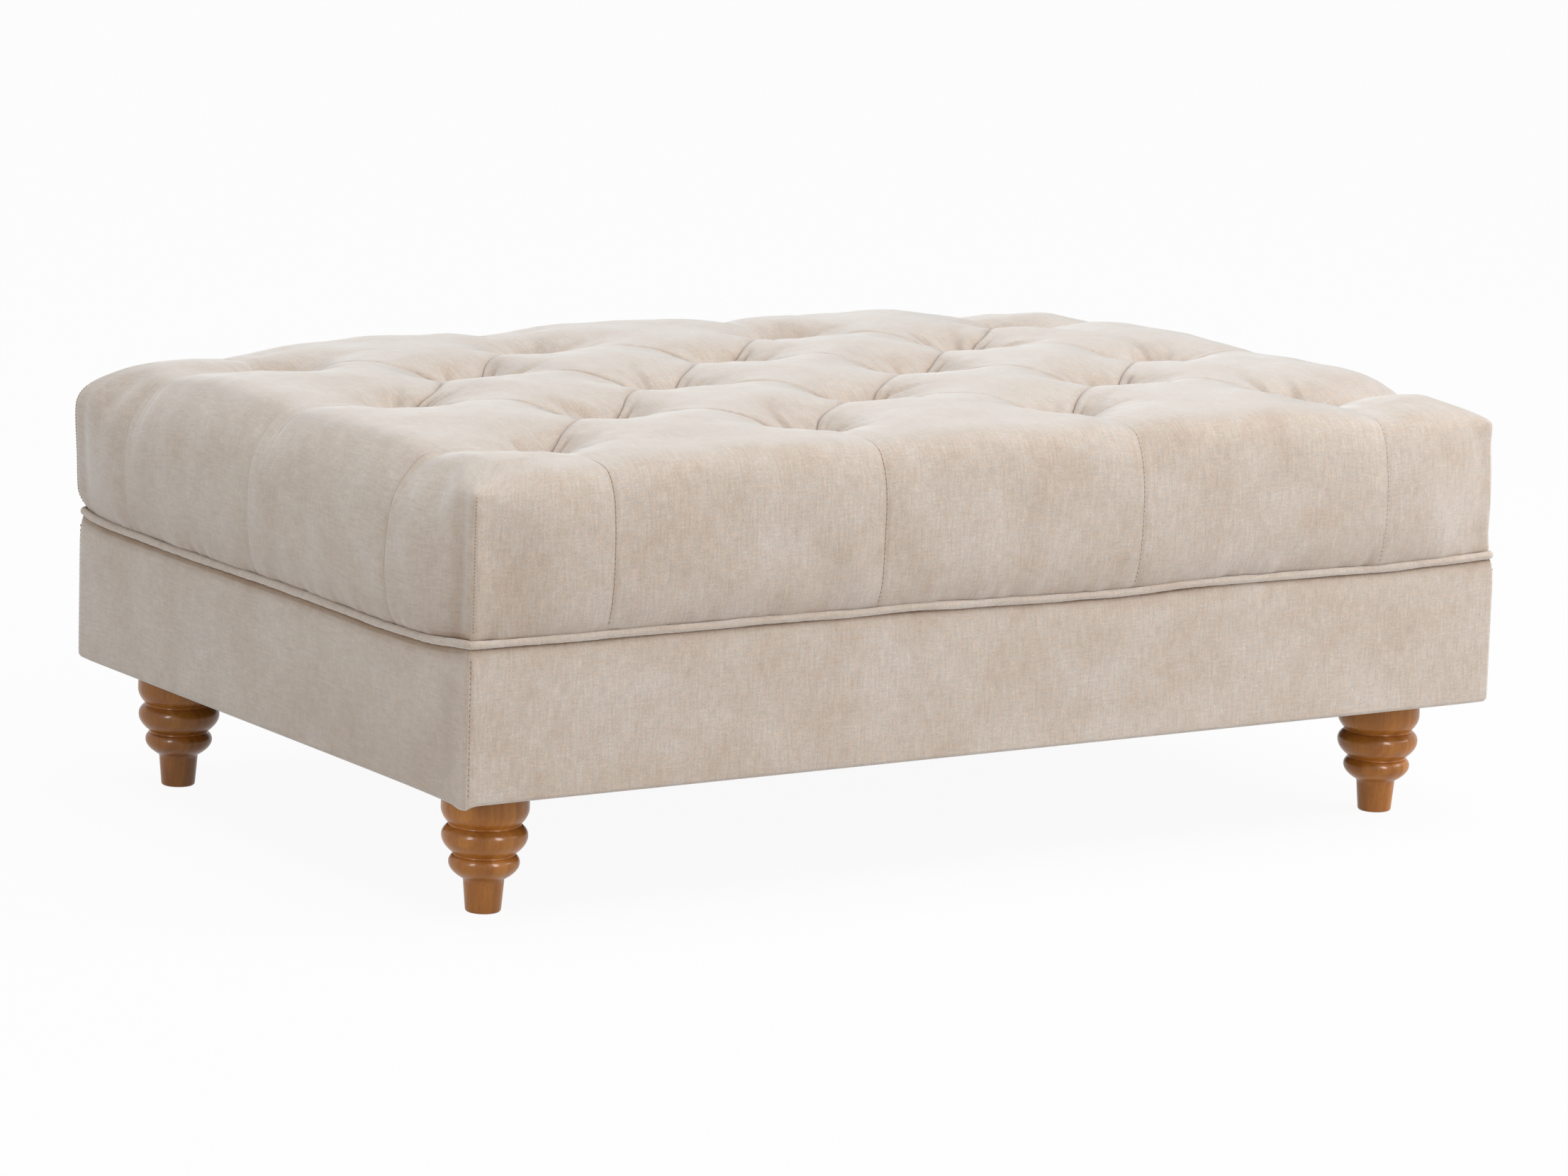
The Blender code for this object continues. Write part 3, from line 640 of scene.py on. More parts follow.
@dataclass
class ClothRange:
    """The upholstery cloth in shaded copies that lose sheen where the painted shade is deeper, in
    creases and grooves.
    """

    limits: tuple = (0.32, 0.42, 0.52)
    names: tuple = ("chenille", "chenille_painted_shade_1", "chenille_painted_shade_2", "chenille_painted_shade_3")
    sheens: tuple = (1.0, 0.67, 0.33, 0.0)
    materials: list = field(init=False, repr=False)

    def __post_init__(self) -> None:
        """Builds the cloth's copies, from full sheen on the open cloth to none under the deepest
        painted shade.
        """
        pairs = zip(self.names, self.sheens)
        self.materials = [ChenilleFinish(name, sheen=sheen).make() for name, sheen in pairs]

    def dress(self, piece: Piece) -> None:
        """Gives each face of a piece the copy of the cloth, with less sheen, for the depth of its
        painted shade.

        Args:
            piece: the piece.
        """
        mesh = piece.data
        for material in self.materials:
            mesh.materials.append(material)
        layer = mesh.attributes.get(PAINTED_SHADE)
        if layer is None:
            return
        depth = np.empty(len(mesh.vertices), np.float32)
        layer.data.foreach_get("value", depth)
        corners = np.empty(len(mesh.loops), np.int32)
        starts = np.empty(len(mesh.polygons), np.int32)
        mesh.loops.foreach_get("vertex_index", corners)
        mesh.polygons.foreach_get("loop_start", starts)
        sizes = np.diff(np.append(starts, len(corners)))
        mean = np.add.reduceat(depth[corners], starts) / sizes
        mesh.polygons.foreach_set("material_index", np.digitize(mean, self.limits).astype(np.int32))


@dataclass(frozen=True)
class ThreadFinish:
    """Sewing thread, coloured dark as painted shade for the small shadow that it sinks in."""

    name: str = "sewing_thread"
    dark: tuple = (0.215, 0.160, 0.122)
    light: tuple = (0.330, 0.256, 0.200)
    ply: float = 2600.0

    def make(self) -> Material:
        """Builds the thread's material.

        Returns:
            The material.
        """
        tree = NodeTree.material(self.name)
        ply = tree.noise(tree.place(), self.ply, 1.0, 0.5)
        colour = tree.ramp(ply, [(0.35, self.dark), (0.65, self.light)])
        normal = tree.bump(ply, 0.0002, 0.5)
        return tree.surface({"Base Color": colour, "Roughness": 0.7, "Normal": normal})


@dataclass(frozen=True)
class TimberFinish:
    """Wood with its grain along one axis, from dark to light, bare or lacquered."""

    name: str
    dark: tuple
    middle: tuple
    light: tuple
    grain: tuple = (1.0, 1.0, 0.06)
    scale: float = 120.0
    flecks: float = 0.0
    roughness: float = 0.6
    lacquer: float = 0.0
    layers: float = 0.0
    bend: tuple = (0.008, 0.008, 0.008)
    sawn_at: float = -25.0

    def make(self) -> Material:
        """Builds the wood's material.

        Returns:
            The material.
        """
        tree = NodeTree.material(self.name)
        bent = tree.wander(tree.place(), 14.0, 2.0, self.bend)
        run = tree.stretch(bent, self.grain)
        broad = tree.noise(run, self.scale * 0.45, 3.0, 0.55)
        fine = tree.noise(run, self.scale * 4.0, 4.0, 0.65)
        tone = tree.total((broad, 0.62), (fine, 0.38))
        if self.layers:
            sawn = tree.stretch(bent, (1.0, 1.0, 1.0), math.radians(self.sawn_at))
            rings = tree.grain(sawn, (1.0 / self.layers, 9.0, 3.0), 2.0, 0.55)
            tone = tree.total((tone, 0.66), (rings, 0.34))
        colour = tree.ramp(tone, [(0.34, self.dark), (0.50, self.middle), (0.66, self.light)])
        if self.flecks:
            short = tree.stretch(bent, tuple(g if g == 1.0 else g * 3.0 for g in self.grain))
            cells = tree.add("TexVoronoi", {"Vector": short, "Scale": self.scale * 5.0})
            stops = [(0.10, (1.0, 1.0, 1.0)), (0.24, (0.0, 0.0, 0.0))]
            spots = tree.ramp(cells.outputs["Distance"], stops)
            share = tree.math("MULTIPLY", spots, self.flecks)
            colour = tree.mix(share, colour, (*(c * 0.45 for c in self.dark), 1.0))
        rough = tree.math("ADD", tree.math("MULTIPLY", fine, 0.16), self.roughness - 0.08)
        return tree.surface({
            "Base Color": colour,
            "Roughness": rough,
            "Coat Weight": self.lacquer,
            "Coat Roughness": 0.14,
            "Specular IOR Level": 0.2,
            "Normal": tree.bump(tone, 0.0004, 0.25),
        })


@dataclass(frozen=True)
class FeltFinish:
    """A matted or spun cloth or foam, speckled with its fibres or cells."""

    name: str
    dark: tuple
    light: tuple
    scale: float = 900.0
    stretch: tuple = (1.0, 1.0, 1.0)
    depth: float = 0.0005

    def make(self) -> Material:
        """Builds the material.

        Returns:
            The material.
        """
        tree = NodeTree.material(self.name)
        place = tree.stretch(tree.place(), self.stretch)
        speck = tree.noise(place, self.scale, 3.0, 0.65)
        broad = tree.noise(place, self.scale / 22.0, 3.0, 0.55)
        tone = tree.total((speck, 0.6), (broad, 0.4))
        return tree.surface({
            "Base Color": tree.ramp(tone, [(0.36, self.dark), (0.64, self.light)]),
            "Roughness": 0.92,
            "Specular IOR Level": 0.15,
            "Normal": tree.bump(speck, self.depth, 0.4),
        })


@dataclass(frozen=True)
class SteelFinish:
    """Plated steel with fine scratches."""

    name: str = "plated_steel"
    dark: tuple = (0.42, 0.41, 0.39)
    light: tuple = (0.62, 0.61, 0.58)
    scratches: float = 1800.0
    clouds: float = 160.0

    def make(self) -> Material:
        """Builds the steel's material.

        Returns:
            The material.
        """
        tree = NodeTree.material(self.name)
        place = tree.place()
        scratch = tree.noise(tree.stretch(place, (1.0, 1.0, 0.15)), self.scratches, 3.0, 0.6)
        tone = tree.noise(place, self.clouds, 3.0, 0.6)
        return tree.surface({
            "Base Color": tree.ramp(tone, [(0.35, self.dark), (0.65, self.light)]),
            "Metallic": 1.0,
            "Roughness": tree.math("ADD", tree.math("MULTIPLY", scratch, 0.25), 0.22),
            "Normal": tree.bump(scratch, 0.0001, 0.2),
        })


@dataclass(frozen=True)
class FloorFinish:
    """A smooth pale studio floor, paler to the camera than to the light that it throws back."""

    name: str = "studio_floor"
    shade: tuple = (0.68, 0.68, 0.68)
    glow: float = 0.94

    def make(self) -> Material:
        """Builds the floor's material.

        Returns:
            The material.
        """
        tree = NodeTree.material(self.name)
        cloud = tree.noise(tree.place(), 0.7, 2.0, 0.5)
        low = tuple(c * 0.995 for c in self.shade)
        colour = tree.ramp(cloud, [(0.3, low), (0.7, self.shade)])
        matt = {"Base Color": colour, "Roughness": 0.9, "Specular IOR Level": 0.1}
        white = tree.add("Emission", {"Color": WHITE, "Strength": 1.0})
        return tree.backdrop(tree.add("BsdfPrincipled", matt), white, self.glow)


@dataclass(frozen=True)
class TuftLattice:
    """Where the tufts sit: two sets of rows, each row half a step out from the next."""

    step_x: float
    step_y: float
    outer_x: float
    outer_y: float
    tufts: Array
    names: list[str]

    @classmethod
    def from_frame(cls) -> "TuftLattice":
        """Reads the tufts from the button nodes.

        Returns:
            The lattice.
        """
        names = nodes_of("tuft_button_")
        middles = []
        for name in names:
            low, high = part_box(name)
            middles.append(((low.x + high.x) / 2, (low.y + high.y) / 2, low.z))
        tufts = np.array(middles)
        columns, rows = np.unique(tufts[:, 0].round(4)), np.unique(tufts[:, 1].round(4))
        return cls(
            step_x=float(np.diff(columns).mean()),
            step_y=float(np.diff(rows).mean()),
            outer_x=float(columns.max()),
            outer_y=float(rows.max()),
            tufts=tufts,
            names=names,
        )

    def slants(self, x: Array, y: Array) -> tuple[Array, Array]:
        """Places on the two slanting sets of fold lines, which run through whole numbers.

        Args:
            x: places across the bench.
            y: places along its depth.

        Returns:
            The two slanting coordinates.
        """
        across = np.clip(x, -self.outer_x, self.outer_x) / self.step_x + self.outer_x / self.step_x
        back = np.clip(y, -self.outer_y, self.outer_y) / self.step_y + self.outer_y / self.step_y
        return (across + back) / 2, (across - back) / 2

    def outer(self, long: bool) -> float:
        """The place of the outermost tufts along the long or the short sides."""
        return self.outer_x if long else self.outer_y

    def step(self, long: bool) -> float:
        """The step of the tufts along the long or the short sides."""
        return self.step_x if long else self.step_y

    @property
    def fold_spacing(self) -> float:
        """The distance between neighbouring fold lines of one set."""
        return 2 * self.step_x * self.step_y / math.hypot(self.step_x, self.step_y)


@dataclass(frozen=True)
class BorderGrid:
    """One side's border as rings of points, with a grid line a column.

    Heights are z and seam, and down is the share of the way from the rim to the seam.
    """

    side: Side
    half: float
    along: Array
    pleats: Array
    z: Array
    down: Array
    seam: Array

    @property
    def to_pleat(self) -> Array:
        """The distance of each grid line from the nearest pleat."""
        return np.abs(self.along[:, None] - self.pleats[None, :]).min(axis=1)[None, :]

    @property
    def drawn(self) -> Array:
        """How much of a seam's pull is felt at each point, none at the rim and the piping."""
        return smooth(0.02, 0.12, self.down) * (1 - smooth(0.97, 1.0, self.down))


@dataclass
class SeatCushion:
    """The tufted seat: a puffed top, pleats over the edge, and borders that bulge."""

    sizes: BenchSizes
    lattice: TuftLattice
    seam: SeamLine
    steps: int = 36
    edge_steps_x: int = 26
    edge_steps_y: int = 24
    border_rows: int = 46
    crowding: float = 0.45
    top_inset: float = 0.048
    pillow_depth: float = 0.030
    back_fold: float = 0.08
    cross_fold: float = 0.18
    funnel_depth: float = 0.018
    funnel_radius: float = 0.022
    crease_near: float = 0.0055
    crease_middle: float = 0.0032
    # Shares for the first set of creases: their depth, their tucks and their painted shade.
    first_folds: tuple = (0.65, 0.45, 0.6)
    drawn_in: tuple = ((0, 1, 2, 3, 4, 6, 9), (0, -0.62, -0.38, -0.20, -0.10, -0.03, 0))
    tuck_depth: float = 0.0060
    tuck_cells: int = 4
    plump: float = 0.0012
    lip: float = 0.0018
    gather_count: int = 7
    gather_far: tuple = (0.045, 0.110)
    gather_depth: tuple = (0.0015, 0.0050)
    # Painted shade in the gathers' hollows.
    gather_painted_shade: float = 0.22
    drift: float = 0.0030
    unevenness: float = 0.0009
    crumple: float = 0.0004
    front_pleats: tuple = (0.17, 0.22, 0.25, 0.38)
    back_pleats: tuple = (0.30, 0.20, 0.18, 0.34)
    front_pull: tuple = (1.0, 0.9, 0.60, 0.40)
    left_pleats: tuple = (0.25, 0.22, 0.25)
    right_pleats: tuple = (0.52, 0.11, 0.28)
    edge_fall: float = 0.008
    corner_fall: float = 0.018
    corner_low: tuple = (0.0, -0.003, 0.0045, 0.006)
    corner_proud: tuple = (0.0, -0.0034, 0.0, 0.0066)
    corner_sharp: tuple = (1.0, 0.9, 0.5, 0.1)
    edge_soft: tuple = (0.0, 1.0, 0.2, 2.0)
    lean: float = 0.0040
    corner_drop: float = 0.017
    corner_seam: float = 0.0035
    corner_groove: tuple = (0.0008, 0.0014)
    corner_hollow: float = 0.0021
    hollow_place: float = 0.0145
    hollow_width: float = 0.0105
    hollow_spread: float = 0.006
    pleat_groove: tuple = (0.0006, 0.0020)
    pleat_dip: tuple = (0.0014, 0.016)
    border_wave: float = 0.0007
    border_pucker: float = 0.0006
    panel_bulge: float = 0.0100
    left_shift: tuple = (-0.014, -0.018, -0.010)
    # Painted shade on each folded edge, by side and by number from the corner seam.
    lip_painted_shade: tuple = (
        (0.14, 0.46, 0.40, 0.22, 0.06),
        (0.50, 0.25, 0.22, 0.25),
        (0.50, 0.45, 0.45, 0.45, 0.45),
        (0.40, 0.05, 0.14, 0.34),
    )
    corner_radius: float = 0.006
    pleat_pitch: float = 0.0044
    corner_pitch: float = 0.0030
    stitch: tuple = (0.0018, 0.00040, 0.0004)
    stitch_rise: float = 0.0003
    stitch_sink: float = 0.0004
    lip_size: tuple = (0.0012, 0.00025)
    seed: int = 11
    plan: list = field(init=False, repr=False)
    top: Array = field(init=False, repr=False)
    rings: Array = field(init=False, repr=False)
    top_painted_shade: Array = field(init=False, repr=False)
    ring_painted_shade: Array = field(init=False, repr=False)

    def stations(self, long: bool) -> tuple[Array, Array]:
        """Grid lines along a side, close together at the tufts and at the corners.

        Args:
            long: whether the lines are counted along the long sides.

        Returns:
            Each line's fixed place, and its share of the stretch out to the corner, -1 to 1.
        """
        step, outer = self.lattice.step(long), self.lattice.outer(long)
        blocks = round(2 * outer / step)
        u = np.arange(blocks * self.steps + 1) / self.steps
        inner = -outer + step * (u - self.crowding * np.sin(2 * math.pi * u) / (2 * math.pi))
        count = self.edge_steps_x if long else self.edge_steps_y
        weight = 0.3 + np.sin(math.pi * (np.arange(count) + 0.5) / count)
        share = np.cumsum(weight) / weight.sum()
        fixed = np.concatenate([np.full(count, -outer), inner, np.full(count, outer)])
        stretch = np.concatenate([-share[::-1], np.zeros(len(inner)), share])
        return fixed, stretch

    def margin(self, long: bool) -> float:
        """How far the top's rim lies past the outermost tufts of the long or the short sides."""
        half = self.sizes.half_width if long else self.sizes.half_depth
        return half - self.top_inset - self.lattice.outer(long)

    def past(self, place: Array, long: bool) -> Array:
        """How far past the outermost tufts each place lies, 0 to 1 at the top's rim."""
        return np.clip((np.abs(place) - self.lattice.outer(long)) / self.margin(long), 0, 1)

    def fade(self, past: Array, across: Array, along: Array, long: bool) -> Array:
        """How much of the tufts' relief is left on the way out to the edge.

        Args:
            past: how far past the outermost tufts each place lies, 0 to 1.
            across: its place across the edge, which tells one side from the other.
            along: its place along the edge.
            long: whether the edges are the long ones.

        Returns:
            The share that is left.
        """
        low = self.front_pleats if long else self.left_pleats
        high = self.back_pleats if long else self.right_pleats
        outer = self.lattice.outer(long)
        marks = np.linspace(-outer, outer, len(low))
        kept = np.where(across < 0, np.interp(along, marks, low), np.interp(along, marks, high))
        return kept + (1 - kept) * (1 - past) ** 2.2

    def shape_top(self) -> Array:
        """Puffs, folds and tufts over the flat plan of the top.

        Returns:
            x, y, z of each place.
        """
        x, y = self.plan
        lattice, rng = self.lattice, np.random.default_rng(self.seed)
        s, t = lattice.slants(x, y)
        past_x, past_y = self.past(x, True), self.past(y, False)
        both = np.minimum(past_x, past_y)
        fade = self.fade(past_x, x, y, False) * self.fade(past_y, y, x, True)
        fade = fade * (1 - smooth(0.1, 1.0, both))
        inside = (1 - np.maximum(past_x, past_y)) ** 2
        rising, falling = np.abs(np.sin(math.pi * s)), np.abs(np.sin(math.pi * t))
        pillow = (1 - rising) * (1 - falling)
        fold = self.cross_fold * rising * (1 - falling) + self.back_fold * falling * (1 - rising)
        reach = np.full(x.shape, 1.0)
        for tuft in lattice.tufts:
            reach = np.minimum(reach, np.hypot(x - tuft[0], y - tuft[1]))
        funnel = (1 + (reach / self.funnel_radius) ** 2) ** -1.2
        drop = self.pillow_depth * (pillow + fold) * fade + self.funnel_depth * funnel
        shift_x, shift_y, groove, crease_painted_shade = self.creases(rng)
        off_corner = 1 - smooth(0.0, 0.06, both)
        # Painted shade along the creases, kept clear of the corners, stored for the cloth's colour.
        self.top_painted_shade = crease_painted_shade * (0.2 + 0.8 * inside) * off_corner
        drop += groove * (0.12 + 0.88 * inside) * off_corner
        drawn_in = self.gathers(rng) * inside
        # Painted shade in the gathers' hollows, deeper where the cloth is drawn in further.
        gathered = np.clip(drawn_in / 0.004, 0, 1)
        self.top_painted_shade = np.maximum(self.top_painted_shade, self.gather_painted_shade * gathered)
        drop += drawn_in
        calm = smooth(0.012, 0.055, reach) * inside
        shift_x = shift_x * inside + self.drift * Ripple(3, 0.07, 0.20)(x, y) * calm
        shift_y = shift_y * inside + self.drift * Ripple(4, 0.07, 0.20)(x, y) * calm
        z = self.crown()
        z += self.unevenness * Ripple(5, 0.05, 0.16)(x, y) * smooth(0.01, 0.05, reach)
        close = smooth(0.01, 0.03, reach) * (1 - 0.6 * smooth(0.04, 0.09, reach))
        z += self.crumple * Ripple(6, 0.020, 0.050)(x, y) * close
        return join(x + shift_x, y + shift_y, z - drop)

    def crown(self) -> Array:
        """The height of the top before its tufts, lower at the edges and the corners.

        Returns:
            One height a place.
        """
        across, back = self.plan[0] / self.sizes.half_width, self.plan[1] / self.sizes.half_depth
        u, v = np.abs(across), np.abs(back)
        z = self.sizes.crest - self.edge_fall * np.maximum(u, v) ** 4
        z = z - self.corner_fall * (u * v) ** 4
        z -= self.lean * smooth(-0.3, 1.0, across)
        for low, (way_x, way_y) in zip(self.corner_low, ((-1, -1), (1, -1), (1, 1), (-1, 1))):
            z -= low * (np.clip(way_x * across, 0, 1) * np.clip(way_y * back, 0, 1)) ** 1.5
        return z

    def creases(self, rng: np.random.Generator) -> tuple[Array, Array, Array, Array]:
        """The folds between the puffs: narrow creases, with a tuck beside some.

        Args:
            rng: the seeded source of their depths.

        Returns:
            How far each place moves across, back and down, and the painted shade along the creases
            and tucks, 0 to 1.
        """
        lattice, (x, y) = self.lattice, self.plan
        s, t = lattice.slants(x, y)
        lines_x, lines_y = x.shape
        edge_x, edge_y = self.edge_steps_x, self.edge_steps_y
        line_x = np.clip(np.arange(lines_x) - edge_x, 0, lines_x - 1 - 2 * edge_x)
        line_y = np.clip(np.arange(lines_y) - edge_y, 0, lines_y - 1 - 2 * edge_y)
        total, apart = line_x[:, None] + line_y[None, :], line_x[:, None] - line_y[None, :]
        length = math.hypot(1 / lattice.step_x, 1 / lattice.step_y)
        depth_of = rng.uniform(0.75, 1.25, (2, 12, 12))
        tuck_of = rng.uniform(0.25, 1.2, (2, 12, 12))
        shift_x, shift_y, groove, mark = (np.zeros(x.shape) for _ in range(4))
        families = ((s, t, total, 1.0, self.first_folds), (t, s, apart, -1.0, (1.0, 1.0, 1.0)))
        for family, (line, along, lines, slope, shares) in enumerate(families):
            sunk, tucked, crease_shade_share = shares
            number = np.round(line)
            away = (line - number) * lattice.fold_spacing
            cells = lines - np.round(lines / (2 * self.steps)) * 2 * self.steps
            near = np.abs(along - np.round(along))
            place = np.floor(along).astype(int) % 12
            pick = (np.full(x.shape, family), number.astype(int) % 12, place)
            open_end = smooth(0.0, 0.035, near)
            deeper = self.crease_near - self.crease_middle
            depth = self.crease_middle + deeper * (1 - smooth(0.08, 0.40, near))
            depth = depth * depth_of[pick] * sunk
            groove += depth * np.interp(np.abs(cells), [0, 1, 2, 3], [1, 0.35, 0.06, 0]) * open_end
            tuck_side = cells * slope + self.tuck_cells
            tuck = self.tuck_depth * tuck_of[pick] * tucked
            window = smooth(0.0, 0.04, near) * (1 - smooth(0.12, 0.36, near))
            groove += tuck * window * np.interp(np.abs(tuck_side), [0, 1, 2], [1, 0.30, 0])
            close = 1 - smooth(0.06, 0.42, near)
            # Painted shade: darker along each crease, most near the tufts, and along the tucks.
            dark = (0.16 + 0.60 * close) * open_end * crease_shade_share
            spread = np.interp(cells * slope, [-2, -1, 0, 1, 2, 3], [0, 0.1, 1, 0.6, 0.3, 0])
            mark = np.maximum(mark, dark * np.where(cells == 0, 1.0, spread * (0.4 + 0.6 * close)))
            mark = np.maximum(mark, 0.60 * tuck / self.tuck_depth * window * (tuck_side == 0))
            plump = bell(cells * slope - 4.0, 2.0) * (cells * slope > 0)
            groove -= self.plump * plump * window
            drawn = np.interp(np.abs(cells), *self.drawn_in)
            pull = away * drawn * smooth(0.02, 0.08, near)
            over = np.clip(cells * slope, 0, None) / 3.0
            pull -= slope * self.lip * over * np.exp(1 - over) * window
            shift_x += pull / lattice.step_x / length
            shift_y += slope * pull / lattice.step_y / length
        return shift_x, shift_y, groove, np.clip(mark, 0.0, 0.9)

    def gathers(self, rng: np.random.Generator) -> Array:
        """Small folds that run out from each tuft where the cloth is drawn in.

        Args:
            rng: the seeded source of their angles and lengths.

        Returns:
            How far each place is drawn down.
        """
        x, y = self.plan
        drop, count = np.zeros(x.shape), self.gather_count
        for tuft in self.lattice.tufts:
            dx, dy = x - tuft[0], y - tuft[1]
            reach = np.hypot(dx, dy)
            close = reach < self.gather_far[1]
            angle, r = np.arctan2(dy[close], dx[close]), reach[close]
            for turn in np.arange(count) * 2 * math.pi / count + rng.uniform(0, 0.9, count):
                far, depth = rng.uniform(*self.gather_far), rng.uniform(*self.gather_depth)
                bend = rng.uniform(-0.5, 0.5)
                swing = np.angle(np.exp(1j * (angle - turn - bend * r / 0.05)))
                run = smooth(0.007, 0.014, r) * (1 - smooth(0.40 * far, far, r))
                across = bell(swing * r, 0.0024 + 0.050 * r)
                drop[close] += depth * run * across * (np.abs(swing) < 1.4)
        return drop

    def side_places(self, side: Side) -> Array:
        """The places of all the grid lines along a side, at the base's outline."""
        fixed, stretch = self.stations(side.long)
        return fixed + stretch * (self.sizes.half_run(side) - self.lattice.outer(side.long))

    def build_rings(self, edge: list[Array]) -> tuple[Array, Array]:
        """The rounded edge and the borders, as rings of points from the top down to the seam.

        Args:
            edge: for each side, the heights of the top's rim at that side's grid lines.

        Returns:
            The rings of points, and the cloth's length from the rim to each ring.
        """
        sizes, places = self.sizes, np.linspace(0, 1, 400)
        rim, level = np.array([sizes.crest - 0.012]), np.array([sizes.seam_height])
        sketch = self.profile(rim, level, np.array([1.0]), np.array([0.0]), Side.FRONT)[0]
        sketch = curve_weights(9, places) @ sketch
        length = travelled(sketch)
        marks = np.interp(np.linspace(0, length[-1], self.border_rows + 1), length, places)
        weights = curve_weights(9, marks)
        rings, folds = [], []
        for side, heights in zip(Side, edge):
            half, along = sizes.half_run(side), self.side_places(side)[:-1]
            seam = sizes.seam_height - self.seam.dip(side, along, half)
            window = smooth(0.0, 0.10, half - np.abs(along))
            sharp = self.by_corner(self.corner_sharp, side, along, 0.06)
            points = self.profile(heights, seam, window, sharp, side)
            curves = np.einsum("kp,cpq->kcq", weights, points)
            inset, z = curves[..., 0], curves[..., 1]
            down = np.clip((heights - z) / (heights - seam), 0, 1)
            grid = BorderGrid(side, half, along, self.pleat_marks(side), z, down, seam)
            folds.append(self.border_shade(grid))
            rings.append(self.place(grid, self.border_relief(grid, inset)))
        self.ring_painted_shade = np.concatenate(folds, axis=1)
        return np.concatenate(rings, axis=1), np.interp(marks, places, length)

    def by_corner(self, values: tuple, side: Side, along: Array, reach: float) -> Array:
        """Lets a value at each corner die away along a side.

        Args:
            values: one value a corner, in the order of the sides that start there.
            side: the side.
            along: places along it.
            reach: how far from a corner its value is felt.

        Returns:
            One value a place.
        """
        half = self.sizes.half_run(side)
        start, end = (1 - smooth(0.0, reach, away) for away in (half + along, half - along))
        return values[side.number] * start + values[(side.number + 1) % 4] * end

    def hollow(self, grid: BorderGrid) -> Array:
        """Where the border is drawn in beside its corner seams.

        Args:
            grid: the border.

        Returns:
            The share of the hollow's depth at each point.
        """
        spread = self.hollow_spread * smooth(0.66, 0.92, grid.down)
        past_end = grid.half - grid.along - self.hollow_place - spread
        hollow = bell(past_end, self.hollow_width + 0.5 * spread)
        hollow = (0.35 if grid.side is Side.FRONT else 1.0) * hollow
        return hollow + 0.5 * bell(grid.half + grid.along - 0.022, 0.011)

    def border_relief(self, grid: BorderGrid, inset: Array) -> Array:
        """Draws a border in at its pleats and corner seams, and ripples it.

        Args:
            grid: the border.
            inset: how far in each point lies from the base's outline.

        Returns:
            The new insets.
        """
        side, along, down, drawn = grid.side, grid.along, grid.down, grid.drawn
        pull = np.interp(along, grid.pleats, self.front_pull) if side is Side.FRONT else 1.0
        depth, width = self.pleat_groove
        inset = inset + depth * pull * bell(grid.to_pleat, width) * drawn
        depth, width = self.pleat_dip
        inset = inset + depth * pull * bell(grid.to_pleat, width) * drawn * (1 - 0.6 * down)
        proud = self.by_corner(self.corner_proud, side, along, 0.13)
        held = (1 - 0.35 * smooth(0.2, 0.7, down)) * (1 - smooth(0.85, 1.0, down))
        inset = inset - proud[None, :] * smooth(0.03, 0.30, down) * held
        depth, width = self.corner_groove
        to_seam = np.abs(along + grid.half - self.corner_seam)[None, :]
        inset = inset + depth * bell(to_seam, width) * drawn
        inset = inset + self.corner_hollow * self.hollow(grid) * drawn
        wave = Ripple(20 + side.number, 0.045, 0.15)(along[None, :], grid.z)
        off_corner = smooth(0.0, 0.05, grid.half - np.abs(along))[None, :]
        inset = inset + self.border_wave * wave * drawn * off_corner
        pucker = Ripple(30 + side.number, 0.013, 0.030)(along, np.zeros(len(along)))[None, :]
        low = fading(grid.z - grid.seam - 0.004, 0.011) * smooth(0.3, 0.6, down)
        return inset + self.border_pucker * pucker * low

    def border_shade(self, grid: BorderGrid) -> Array:
        """The painted shade on a border's cloth: darker above the piping and along the pleats, on
        the left border also in its corner hollows and low down, and low on the front near its left
        end.

        Args:
            grid: the border.

        Returns:
            The painted shade at each point, 0 to 1.
        """
        half, along, down, drawn = grid.half, grid.along, grid.down, grid.drawn
        above = np.clip(grid.z - grid.seam, 0, None)
        # Painted shade, darker towards the piping.
        shade = 0.16 * fading(above, 0.022) + 0.22 * fading(above - 0.003, 0.0016)
        if grid.side is Side.LEFT:
            hollow = self.hollow(grid) * drawn
            shade = shade + 0.26 * hollow * (1 - 0.5 * smooth(0.7, 0.95, down))
            shade = shade + (0.16 + 0.10 * bell(half - along, 0.09)) * fading(above, 0.024)
        if grid.side is Side.FRONT:
            shade = shade + 0.13 * fading(half + along, 0.07) * smooth(0.5, 0.95, down)
        return shade * smooth(0.3, 0.6, down) + 0.10 * bell(grid.to_pleat, 0.003) * drawn

    def pleat_marks(self, side: Side) -> Array:
        """Where the pleats run down a side's border."""
        marks = np.linspace(-1.0, 1.0, 4 if side.long else 3) * self.lattice.outer(side.long)
        return marks + np.array(self.left_shift) if side is Side.LEFT else marks

